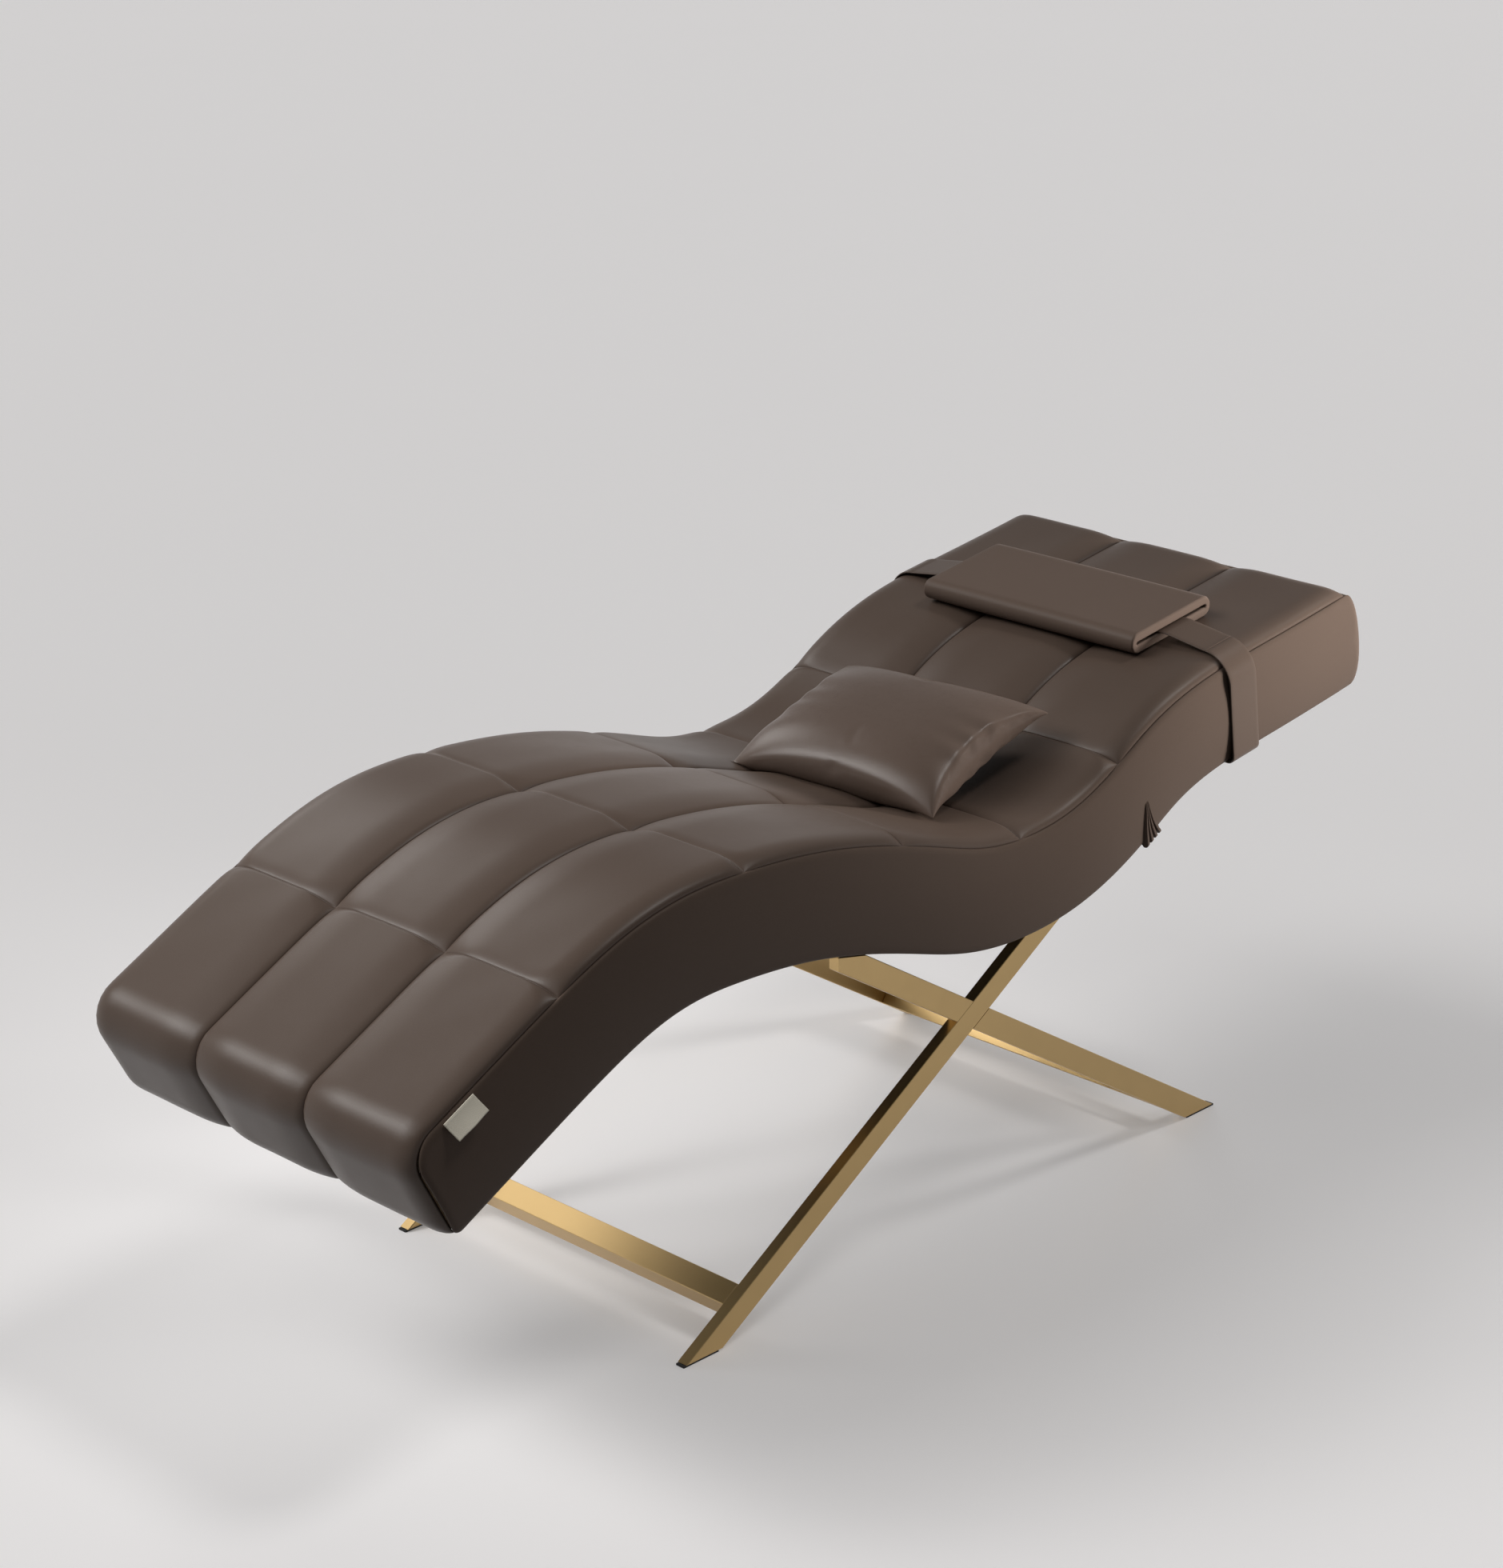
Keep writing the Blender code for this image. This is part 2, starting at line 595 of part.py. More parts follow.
LEG_TOP_REAR_PLATE = lowered(REAR_SEAT, BAR_SEAT)
LEG_TOP_FRONT_BAR = lowered(FRONT_SEAT, BAR_SEAT + BAR_DEPTH + FIT_GAP)
for side, word in ((-1, "left"), (1, "right")):
    leg("front_leg_" + word, -1, side, LEG_TOP_REAR_PLATE)
    leg("rear_leg_" + word, 1, side, LEG_TOP_FRONT_BAR)
    for foot_side, end in ((-1, "front"), (1, "rear")):
        foot_y = FRAME_SET_BACK + foot_side * FOOT_REACH
        foot_x = side * (FRAME_HALF_WIDTH - BAR_THICKNESS / 2)
        box("glide_" + end + "_" + word,
            (BAR_THICKNESS - GLIDE_MARGIN, FOOT_PRINT - GLIDE_MARGIN, GLIDE_THICKNESS),
            (0, 0, GLIDE_THICKNESS / 2), Matrix.Translation((foot_x, foot_y, 0)), RUBBER)

INNER_SPAN = FRAME_WIDTH - 2 * BAR_THICKNESS - 2 * FIT_GAP
for foot_side, end in ((-1, "front"), (1, "rear")):
    along_leg = STRETCHER_RISE / math.sin(LEG_ANGLE) + BAR_DEPTH / 2
    y = FRAME_SET_BACK + foot_side * (FOOT_REACH - along_leg * math.cos(LEG_ANGLE))
    place = (Matrix.Translation((0, y, along_leg * math.sin(LEG_ANGLE)))
             @ Matrix.Rotation(-foot_side * LEG_ANGLE, 4, "X"))
    bevelled(box(end + "_stretcher", (INNER_SPAN, BAR_DEPTH, BAR_DEPTH), (0, 0, 0), place, BRASS),
             BAR_EDGE)

bevelled(box("front_cross_bar", (FRAME_WIDTH, BAR_DEPTH, BAR_DEPTH), (0, 0, -BAR_SEAT - BAR_DEPTH / 2),
             FRONT_SEAT, BRASS), BAR_EDGE)
bevelled(box("rear_cross_bar", (INNER_SPAN, BAR_DEPTH, BAR_DEPTH), (0, 0, -BAR_SEAT - BAR_DEPTH / 2),
             REAR_SEAT, BRASS), BAR_EDGE)

# Mounting slats, plates, bolts and tee nuts
PLATE_OUTER_X = FRAME_HALF_WIDTH + PLATE_EDGE_MARGIN
BOLT_X = PLATE_OUTER_X - PLATE_WIDTH + BOLT_INSET
BOLT_PLACES = [(side * BOLT_X, way * BOLT_SPACING / 2) for side in (-1, 1) for way in (-1, 1)]


def bored(place, radius, low, high):
    """Hidden cutters for a hole at each bolt, between two depths in the mount's frame."""
    parts = [turned([(radius, low), (radius, high)], BOLT_SIDES, (x, y, 0.0)) for x, y in BOLT_PLACES]
    return mesh_object("bolt_hole", *joined(parts), STEEL, place)


def fastener(kind, number, profile, place, hollow, shared):
    """One bolt or nut at its place; all of a kind share the first one's mesh."""
    name = kind + "_" + str(number)
    if kind not in shared:
        shared[kind] = mesh_object(name, *turned(profile, BOLT_SIDES, (0.0, 0.0, 0.0), hollow), STEEL,
                                   place).data
        return
    thing = bpy.data.objects.new(name, shared[kind])
    bpy.context.scene.collection.objects.link(thing)
    thing.matrix_world = place


BOLT_PROFILE = [(BOLT_HEAD_RADIUS, -BAR_SEAT - BOLT_HEAD_HEIGHT), (BOLT_HEAD_RADIUS, -BAR_SEAT),
                (BOLT_RADIUS, -BAR_SEAT), (BOLT_RADIUS, -BAR_SEAT + BOLT_LENGTH)]
NUT_BORE = BOLT_RADIUS + FIT_GAP
NUT_PROFILE = [(NUT_BORE, -NUT_LENGTH), (NUT_BARREL_RADIUS, -NUT_LENGTH),
               (NUT_BARREL_RADIUS, -NUT_FLANGE_THICKNESS), (NUT_FLANGE_RADIUS, -NUT_FLANGE_THICKNESS),
               (NUT_FLANGE_RADIUS, 0.0), (NUT_BORE, 0.0)]
FASTENER_MESHES = {}
for end, seat, first_bolt in (("front", FRONT_SEAT, 1), ("rear", REAR_SEAT, 1 + len(BOLT_PLACES))):
    slat = box(end + "_mount_slat", (2 * INNER_HALF_WIDTH, MOUNT_SLAT_LENGTH, MOUNT_SLAT_THICKNESS),
               (0, 0, -MOUNT_SLAT_THICKNESS / 2), seat, PLYWOOD)
    barrel = bored(seat, NUT_BARREL_RADIUS + BOLT_CLEARANCE, -MOUNT_SLAT_THICKNESS - BAR_EDGE, BAR_EDGE)
    flange = bored(seat, NUT_FLANGE_RADIUS + BOLT_CLEARANCE, -NUT_FLANGE_THICKNESS - FIT_GAP, BAR_EDGE)
    cut_from(slat, [barrel, flange])
    hole = bored(seat, BOLT_RADIUS + BOLT_CLEARANCE, -BAR_SEAT - BAR_EDGE, -PLATE_SEAT + BAR_EDGE)
    for side, word in ((-1, "left"), (1, "right")):
        centre_x = side * (PLATE_OUTER_X - PLATE_WIDTH / 2)
        plate = box(end + "_mount_plate_" + word, (PLATE_WIDTH, PLATE_LENGTH, PLATE_THICKNESS),
                    (centre_x, 0, -PLATE_SEAT - PLATE_THICKNESS / 2), seat, STEEL)
        cut_from(plate, [hole])
    for number, (x, y) in enumerate(BOLT_PLACES, first_bolt):
        place = seat @ Matrix.Translation((x, y, 0))
        fastener("mount_bolt", number, BOLT_PROFILE, place, False, FASTENER_MESHES)
        fastener("tee_nut", number, NUT_PROFILE, place, True, FASTENER_MESHES)

# Dust cover under the boards, cut out where the legs and cross bars pass through it
dust_cover = between_boards("dust_cover", BODY_THICKNESS - COVER_RECESS - COVER_THICKNESS,
                            BODY_THICKNESS - COVER_RECESS, DUST_CLOTH)
COVER_CUTTERS = []
for side in (-1, 1):
    x_out = side * (FRAME_HALF_WIDTH + COVER_CUTOUT_CLEARANCE)
    x_in = side * (FRAME_HALF_WIDTH - BAR_THICKNESS - COVER_CUTOUT_CLEARANCE)
    for foot_side in (-1, 1):
        COVER_CUTTERS.append(prism("cover_cutout", leg_outline(foot_side, COVER_CUTOUT_CLEARANCE),
                                   min(x_in, x_out), max(x_in, x_out), DUST_CLOTH))
BAR_CUTOUT = BAR_DEPTH + 2 * COVER_CUTOUT_CLEARANCE
for seat in (FRONT_SEAT, REAR_SEAT):
    COVER_CUTTERS.append(box("cover_cutout", (FRAME_WIDTH + 2 * COVER_CUTOUT_CLEARANCE, BAR_CUTOUT, BAR_CUTOUT),
                             (0, 0, -BAR_SEAT - BAR_DEPTH / 2), seat, DUST_CLOTH))
cut_from(dust_cover, COVER_CUTTERS)

# Head pad on its strap; both slide together along the straight upper part of the back
HEADREST_Y = along(SEAM_SHARES[-1])
SLIDE_START = curve_frame(HEADREST_Y)[0]
SLIDE_END = curve_frame(HEADREST_Y + HEADREST_TRAVEL + STRAP_WIDTH)[0]
SLIDE_ANGLE = math.atan2(SLIDE_END[1] - SLIDE_START[1], SLIDE_END[0] - SLIDE_START[0])
HEADREST_PLACE = (Matrix.Translation((0, SLIDE_START[0], SLIDE_START[1]))
                  @ Matrix.Rotation(SLIDE_ANGLE, 4, "X"))


def quilt_rise(half_width, start, end):
    """Highest point of the cover in the headrest's frame, within a width and a stretch of its path."""
    to_local = HEADREST_PLACE.inverted()
    rises = []
    for vertex in QUILT.data.vertices:
        local = to_local @ vertex.co
        if abs(local.x) <= half_width and start <= local.y <= end:
            rises.append(local.z)
    return max(rises)


PAD_FLOOR = quilt_rise(PAD_WIDTH / 2, -PAD_DEPTH / 2, PAD_DEPTH / 2 + HEADREST_TRAVEL) + PAD_SEAT_CLEARANCE
PAD_MIDDLE = PAD_FLOOR + PAD_THICKNESS / 2

headrest = bpy.data.objects.new("headrest_slide", None)
bpy.context.scene.collection.objects.link(headrest)
headrest.matrix_world = HEADREST_PLACE


def headrest_object(name, points, faces, material):
    """A piece in the headrest's own frame, carried by its empty."""
    thing = mesh_object(name, points, faces, material)
    thing.parent = headrest
    return thing


def stadium(depth, thickness, steps):
    """A flat (y, z) outline with half-round front and back edges."""
    radius = thickness / 2
    points = []
    for way in (1, -1):
        for a in np.linspace(-math.pi / 2, math.pi / 2, steps + 1):
            points.append((way * (depth / 2 - radius + radius * math.cos(a)), way * radius * math.sin(a)))
    return points


def head_pad():
    """A padded sleeve: a stadium section with a slot through its middle for the strap."""
    outer = stadium(PAD_DEPTH, PAD_THICKNESS, 6)
    slot_height = STRAP_THICKNESS + 2 * STRAP_SLOT_CLEARANCE
    inner = stadium(PAD_DEPTH - 2 * PAD_SLOT_MARGIN, slot_height, 6)
    count = len(outer)
    points = []
    for x in (-PAD_WIDTH / 2, PAD_WIDTH / 2):
        points += [(x, y, PAD_MIDDLE + z) for y, z in outer]
        points += [(x, y, PAD_MIDDLE + z) for y, z in inner]
    faces = []
    for i in range(count):
        j = (i + 1) % count
        far = 2 * count
        faces += [(i, j, far + j, far + i), (count + i, far + count + i, far + count + j, count + j),
                  (i, count + i, count + j, j), (far + i, far + j, far + count + j, far + count + i)]
    return headrest_object("head_pad", points, faces, PAD_LEATHER)


def rounded(corners, steps):
    """Replace each corner (x, z, radius) of a closed run by an arc that meets both sides."""
    points = []
    for i, (x, z, radius) in enumerate(corners):
        here = np.array([x, z])
        before = np.array(corners[i - 1][:2]) - here
        after = np.array(corners[(i + 1) % len(corners)][:2]) - here
        before, after = before / np.linalg.norm(before), after / np.linalg.norm(after)
        half = math.acos(float(np.clip(before @ after, -1, 1))) / 2
        reach = radius / math.tan(half)
        middle = (before + after) / np.linalg.norm(before + after)
        centre = here + middle * radius / math.sin(half)
        start, end = here + before * reach - centre, here + after * reach - centre
        sweep = math.pi - 2 * half
        for share in np.linspace(0, 1, steps + 1):
            blend = (math.sin((1 - share) * sweep) * start + math.sin(share * sweep) * end)
            points.append(centre + blend / math.sin(sweep))
    return points


def strap():
    """A flat band sewn into one loop round the couch, straight through the slot of the pad."""
    middle = STRAP_THICKNESS / 2
    side_x = HALF_WIDTH + STRAP_SIDE_STANDOFF + middle
    puff_z = quilt_rise(HALF_WIDTH, -STRAP_WIDTH / 2, STRAP_WIDTH / 2 + HEADREST_TRAVEL)
    edge_z = puff_z - CROWN + STRAP_TOP_CLEARANCE + middle
    under_z = -BODY_THICKNESS - STRAP_UNDER_CLEARANCE - middle
    leave_x = PAD_WIDTH / 2 + STRAP_CORNER_RADIUS / 2
    land_x = leave_x + STRAP_DROP_SHARE * (side_x - leave_x)
    land_z = edge_z + STRAP_LAND_SHARE * CROWN
    corners = [(leave_x, PAD_MIDDLE, STRAP_CORNER_RADIUS), (land_x, land_z, STRAP_CORNER_RADIUS * 2),
               (side_x, edge_z, STRAP_CORNER_RADIUS / 2), (side_x, under_z, STRAP_UNDER_RADIUS)]
    corners += [(-x, z, radius) for x, z, radius in corners[::-1]]
    line = rounded(corners, 4)
    points, count = [], len(line)
    for i, here in enumerate(line):
        ahead, behind = line[(i + 1) % count] - here, here - line[i - 1]
        ahead, behind = ahead / np.linalg.norm(ahead), behind / np.linalg.norm(behind)
        way = ahead + behind
        way = way / np.linalg.norm(way)
        square = np.array([way[1], -way[0]]) / float(way @ ahead)
        for y, off in ((-1, -1), (1, -1), (1, 1), (-1, 1)):
            x, z = here + off * middle * square
            points.append((x, y * STRAP_WIDTH / 2, z))
    faces = []
    for i in range(count):
        a, b = 4 * i, 4 * ((i + 1) % count)
        faces += [(a + k, a + (k + 1) % 4, b + (k + 1) % 4, b + k) for k in range(4)]
    return headrest_object("strap", points, faces, LEATHER)


head_pad()
strap()


# Loose pillow: crowned, with drawn-in sides and corners that droop, lowered until it touches the cover

def pillow():
    """Two crowned skins that meet in a thin edge; height falls to the edge on all four sides."""
    steps = np.sin(np.linspace(-math.pi / 2, math.pi / 2, 17))
    top, under = [], []
    for v in steps:
        for u in steps:
            pull_u = 1 - PILLOW_SIDE_PULL / (PILLOW_WIDTH / 2) * (1 - v * v)
            pull_v = 1 - PILLOW_SIDE_PULL / (PILLOW_DEPTH / 2) * (1 - u * u)
            swell = ((1 - u ** 2) * (1 - v ** 2)) ** 0.5
            half = PILLOW_EDGE / 2 + (PILLOW_THICKNESS - PILLOW_EDGE) / 2 * swell
            droop = PILLOW_CORNER_DROOP * u ** 4 * v ** 4
            x, y = u * pull_u * PILLOW_WIDTH / 2, v * pull_v * PILLOW_DEPTH / 2
            top.append((x, y, half - droop))
            under.append((x, y, -half - droop))
    n = len(steps)
    faces = []
    for i in range(n - 1):
        for j in range(n - 1):
            a, b, c, d = i * n + j, i * n + j + 1, (i + 1) * n + j + 1, (i + 1) * n + j
            faces += [(a, b, c, d), (a + n * n, d + n * n, c + n * n, b + n * n)]
    rim = list(range(n)) + [i * n + n - 1 for i in range(1, n)]
    rim += [(n - 1) * n + j for j in range(n - 2, -1, -1)] + [i * n for i in range(n - 2, 0, -1)]
    for a, b in zip(rim, rim[1:] + rim[:1]):
        faces.append((a, a + n * n, b + n * n, b))
    turn = (Matrix.Translation((PILLOW_SET_RIGHT, PILLOW_SET_BACK, BODY_TOP))
            @ Matrix.Rotation(PILLOW_TILT, 4, "X") @ Matrix.Rotation(PILLOW_TURN, 4, "Z"))
    return mesh_object("pillow", top + under, faces, PILLOW_LEATHER, turn)


def drop_height(thing, below):
    """How far a piece can move straight down before any of its points or the other's touch."""
    bpy.context.view_layer.update()
    down, up = Vector((0, 0, -1)), Vector((0, 0, 1))
    place, base = thing.matrix_world, below.matrix_world
    upper = [place @ v.co for v in thing.data.vertices]
    lower = [base @ v.co for v in below.data.vertices]
    upper_tree = BVHTree.FromPolygons(upper, [p.vertices for p in thing.data.polygons])
    lower_tree = BVHTree.FromPolygons(lower, [p.vertices for p in below.data.polygons])
    drops = []
    for points, tree, way in ((upper, lower_tree, down), (lower, upper_tree, up)):
        for point in points:
            distance = tree.ray_cast(point, way)[3]
            if distance is not None:
                drops.append(distance)
    return min(drops)


PILLOW = pillow()
PILLOW.location.z -= drop_height(PILLOW, QUILT) - 2 * FIT_GAP


# Folded cloth tag in the right side seam near the foot

def side_tag():
    """A thin sheet that hangs from the seam and curls away from the side towards its free end."""
    point, tangent, normal = curve_frame(along(TAG_SEAM_SHARE))
    points = []
    rows, columns = 7, 2
    for face in (0, 1):
        for v in np.linspace(0, 1, rows):
            for u in np.linspace(-0.5, 0.5, columns):
                y, z = point + u * TAG_WIDTH * tangent - v * TAG_DROP * normal
                x = HALF_WIDTH + FIT_GAP + TAG_CURL * math.sin(v * math.pi / 2) ** 2 + face * TAG_THICKNESS
                points.append((x, y, z))
    faces = []
    half = rows * columns
    for i in range(rows - 1):
        for j in range(columns - 1):
            a, b, c, d = (i * columns + j, i * columns + j + 1, (i + 1) * columns + j + 1,
                          (i + 1) * columns + j)
            faces += [(a, b, c, d), (a + half, d + half, c + half, b + half)]
    rim = list(range(columns)) + [i * columns + columns - 1 for i in range(1, rows)]
    rim += [(rows - 1) * columns + j for j in range(columns - 2, -1, -1)]
    rim += [i * columns for i in range(rows - 2, 0, -1)]
    faces += [(a, b, b + half, a + half) for a, b in zip(rim, rim[1:] + rim[:1])]
    return mesh_object("side_tag", points, faces, TAG_CLOTH)


side_tag()


# Bellows pleats, sewn into the lower edge of each side panel where the back begins to rise

def raised(part):
    """A share that starts at the valley share and grows to 1 with its part."""
    return PLEAT_VALLEY_SHARE + (1 - PLEAT_VALLEY_SHARE) * part


def pleats(name, side):
    """A fan of folds: narrow and flat at its top, proud and scalloped at its hem."""
    point, tangent, normal = curve_frame(along(PLEAT_SHARE))
    hem = point - BODY_THICKNESS * normal
    across, down = 4 * PLEAT_FOLDS + 1, 6
    outer, inner = [], []
    for v in np.linspace(0, 1, down):
        for u in np.linspace(-0.5, 0.5, across):
            fold = raised(abs(math.sin((u + 0.5) * PLEAT_FOLDS * math.pi)))
            width = PLEAT_TOP_WIDTH + v * (PLEAT_BOTTOM_WIDTH - PLEAT_TOP_WIDTH)
            forward = u * width + PLEAT_LEAN * (1 - v)
            drop = (PLEAT_HEIGHT + PLEAT_HEM * fold) * v
            y, z = hem + PLEAT_HEIGHT * normal + forward * tangent - drop * normal
            proud = PLEAT_PROUD * raised(v) * fold
            outer.append((side * (HALF_WIDTH + FIT_GAP + proud), y, z))
            inner.append((side * (HALF_WIDTH + FIT_GAP), y, z))
    half = across * down
    faces = []
    for i in range(down - 1):
        for j in range(across - 1):
            a, b, c, d = i * across + j, i * across + j + 1, (i + 1) * across + j + 1, (i + 1) * across + j
            faces += [(a, b, c, d), (a + half, d + half, c + half, b + half)]
    rim = list(range(across)) + [i * across + across - 1 for i in range(1, down)]
    rim += [(down - 1) * across + j for j in range(across - 2, -1, -1)]
    rim += [i * across for i in range(down - 2, 0, -1)]
    faces += [(a, b, b + half, a + half) for a, b in zip(rim, rim[1:] + rim[:1])]
    return mesh_object(name, outer + inner, faces, LEATHER)


for side, word in ((-1, "left"), (1, "right")):
    pleats("pleats_" + word, side)
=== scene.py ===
"""Eyelash extension bed: a quilted leather couch on a brass X frame, dressed for a plain studio picture.

Every length is in metres.  The foot end lies at -Y, the head end at +Y and the feet stand on z = 0.
"""
import json
import math

import bmesh
import bpy
import numpy as np
from mathutils import Matrix, Vector
from mathutils.bvhtree import BVHTree


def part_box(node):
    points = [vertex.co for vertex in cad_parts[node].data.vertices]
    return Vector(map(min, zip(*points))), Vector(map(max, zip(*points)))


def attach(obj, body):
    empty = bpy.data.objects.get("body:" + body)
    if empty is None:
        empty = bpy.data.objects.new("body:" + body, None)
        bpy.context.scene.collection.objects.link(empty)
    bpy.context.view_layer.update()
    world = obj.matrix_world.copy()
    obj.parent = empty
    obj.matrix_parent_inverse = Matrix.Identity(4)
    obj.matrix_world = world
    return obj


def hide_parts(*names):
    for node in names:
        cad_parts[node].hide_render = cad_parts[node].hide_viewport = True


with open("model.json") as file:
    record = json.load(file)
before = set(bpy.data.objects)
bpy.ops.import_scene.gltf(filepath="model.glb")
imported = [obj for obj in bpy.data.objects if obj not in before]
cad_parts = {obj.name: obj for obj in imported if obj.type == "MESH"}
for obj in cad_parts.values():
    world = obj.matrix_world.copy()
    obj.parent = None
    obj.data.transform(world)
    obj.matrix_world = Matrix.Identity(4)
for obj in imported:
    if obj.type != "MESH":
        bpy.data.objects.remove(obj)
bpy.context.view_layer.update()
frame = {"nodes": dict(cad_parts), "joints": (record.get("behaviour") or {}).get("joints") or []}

nodes = frame["nodes"]

# Camera
# A long lens above head height looks down over the foot end's right corner, rolled by 0.1 degrees.  One
# small function puts each new object into the scene.

CAMERA_PLACE = (3.3277, -3.4477, 2.3718)
CAMERA_TURN = math.radians(44.348)
CAMERA_PITCH = math.radians(19.938)
CAMERA_ROLL = math.radians(-0.118)
LENS_MM = 82.54
SENSOR_HEIGHT_MM = 36


def linked(name, data):
    """A new object in the scene that shows its data."""
    thing = bpy.data.objects.new(name, data)
    bpy.context.scene.collection.objects.link(thing)
    return thing


camera = linked("camera", bpy.data.cameras.new("camera"))
camera.data.sensor_fit = "VERTICAL"
camera.data.sensor_height = SENSOR_HEIGHT_MM
camera.data.lens = LENS_MM
camera.matrix_world = (Matrix.Translation(CAMERA_PLACE) @ Matrix.Rotation(CAMERA_TURN, 4, "Z")
                       @ Matrix.Rotation(math.pi / 2 - CAMERA_PITCH, 4, "X")
                       @ Matrix.Rotation(CAMERA_ROLL, 4, "Z"))
bpy.context.scene.camera = camera
bpy.context.scene.view_settings.view_transform = "Standard"

# Studio
# A wide pale floor without an edge in view under a pale sky.  A far soft key lamp stands high over the foot
# end's left side, with two far fills, two soft boxes on the left and one near the head's right side.

FLOOR_SIZE = 90.0
FLOOR_COLOUR = (0.76, 0.75, 0.753)
FLOOR_BOUNCE = (0.16, 0.158, 0.158)
FLOOR_GLOW = 0.29
FLOOR_ROUGHNESS = 0.34
FLOOR_BLOT = 0.9
SKY_COLOUR = (0.60, 0.592, 0.592)
SKY_ABOVE = (0.20, 0.198, 0.198)
SKY_LOW, SKY_HIGH = 0.14, 0.36
SKY_LIGHT = (0.070, 0.069, 0.069)
LAMP_COLOUR = (1.0, 0.985, 0.97)


class Shade:
    """One output of a shader node.  Arithmetic on it adds Math nodes; node() adds any other kind."""

    tree = None
    material = None

    def __init__(self, socket):
        self.socket = socket

    @staticmethod
    def node(kind, settings=None, sockets=None, output=0):
        """Add a node: first its settings, then its sockets' values or links."""
        made = Shade.tree.nodes.new(kind)
        for name, value in (settings or {}).items():
            setattr(made, name, value)
        for name, value in (sockets or {}).items():
            Shade.feed(made.inputs[name], value)
        return Shade(made.outputs[output])

    @staticmethod
    def feed(socket, value):
        """Link a socket to a shader value, or give it a plain one."""
        if isinstance(value, Shade):
            Shade.tree.links.new(value.socket, socket)
        else:
            socket.default_value = value

    @staticmethod
    def maths(operation, *values):
        """A Math node on two values or links."""
        return Shade.node("ShaderNodeMath", {"operation": operation}, dict(enumerate(values)))

    def __add__(self, other):
        return Shade.maths("ADD", self, other)

    __radd__ = __add__

    def __sub__(self, other):
        return Shade.maths("SUBTRACT", self, other)

    def __rsub__(self, other):
        return Shade.maths("SUBTRACT", other, self)

    def __mul__(self, other):
        return Shade.maths("MULTIPLY", self, other)

    __rmul__ = __mul__

    def clamped(self):
        """The value held between 0 and 1."""
        return Shade.node("ShaderNodeClamp", sockets={"Value": self})

    def mixed(self, low, high):
        """The colour between low, where this value is 0, and high, where it is 1."""
        return Shade.node("ShaderNodeMix", {"data_type": "RGBA"},
                          {0: self, 6: rgba(low), 7: rgba(high)}, output=2)


def rgba(colour):
    """A colour with full cover; a linked colour stays as it is."""
    return colour if isinstance(colour, Shade) else (*colour, 1.0)


def finish(**sockets):
    """End the begun material; its shader's sockets, named with underscores, take values or links."""
    shader = next(node for node in Shade.tree.nodes if node.type == "BSDF_PRINCIPLED")
    for name, value in sockets.items():
        Shade.feed(shader.inputs[name.replace("_", " ")], value)
    return Shade.material


def start(name):
    """Begin a material; what Shade adds from here on goes into it.  Returns its Object coordinates."""
    Shade.material = bpy.data.materials.new(name)
    Shade.material.use_nodes = True
    Shade.tree = Shade.material.node_tree
    return Shade.node("ShaderNodeTexCoord", output=3)


def noise(coords, size, detail=2.0):
    """Soft noise from 0 to 1 whose blots are about as large as the size."""
    return Shade.node("ShaderNodeTexNoise", sockets={"Vector": coords, "Scale": 1 / size, "Detail": detail})


def relief(height, depth):
    """A normal from a height of 0 to 1 that stands for a real depth."""
    return Shade.node("ShaderNodeBump", sockets={"Height": height, "Distance": depth, "Strength": 1.0})


def stretched(coords, scale):
    """Coordinates scaled along each axis, so that a pattern on them is drawn out where the scale is small."""
    return Shade.node("ShaderNodeMapping", {"vector_type": "POINT"}, {"Vector": coords, "Scale": scale})


def darker(colour, share):
    """A colour at a share of its strength."""
    return tuple(share * part for part in colour)


def shape_of(name, points, faces):
    """A smoothly shaded object over points and faces."""
    mesh = bpy.data.meshes.new(name)
    mesh.from_pydata(np.reshape(points, (-1, 3)).tolist(), [], np.asarray(faces).tolist())
    mesh.shade_smooth()
    return linked(name, mesh)


def in_view():
    """1 for rays from the camera and for mirrored and refracted ones, 0 for those that carry light."""
    seen = Shade.node("ShaderNodeLightPath") + Shade.node("ShaderNodeLightPath", output=3)
    return (seen + Shade.node("ShaderNodeLightPath", output=6)).clamped()


coords = start("studio_floor")
pale = noise(coords, FLOOR_BLOT).mixed(darker(FLOOR_COLOUR, 0.99), FLOOR_COLOUR)
FLOOR_FINISH = finish(Base_Color=in_view().mixed(FLOOR_BOUNCE, pale), Roughness=FLOOR_ROUGHNESS,
                      Emission_Color=in_view().mixed((0.0, 0.0, 0.0), pale), Emission_Strength=FLOOR_GLOW)

half = FLOOR_SIZE / 2
floor = shape_of("floor", [(-half, -half, 0), (half, -half, 0), (half, half, 0), (-half, half, 0)],
                 [(0, 1, 2, 3)])
floor.data.materials.append(FLOOR_FINISH)

sky = bpy.data.worlds.new("sky")
sky.use_nodes = True
Shade.tree = sky.node_tree
height = Shade.node("ShaderNodeSeparateXYZ", sockets={0: Shade.node("ShaderNodeTexCoord")}, output=2)
backdrop = ((height - SKY_LOW) * (1 / (SKY_HIGH - SKY_LOW))).clamped().mixed(SKY_COLOUR, SKY_ABOVE)
sky.node_tree.links.new(in_view().mixed(SKY_LIGHT, backdrop).socket,
                        sky.node_tree.nodes["Background"].inputs["Color"])
bpy.context.scene.world = sky


def lamp(name, kind, energy, direction, place=(0.0, 0.0, 3.0)):
    """A lamp of a kind at a place, turned so that it shines along a direction."""
    light = bpy.data.lights.new(name, kind)
    light.energy = energy
    light.color = LAMP_COLOUR
    thing = linked(name, light)
    turn = Vector(direction).to_track_quat("-Z", "Y").to_matrix().to_4x4()
    thing.matrix_world = Matrix.Translation(place) @ turn
    return thing


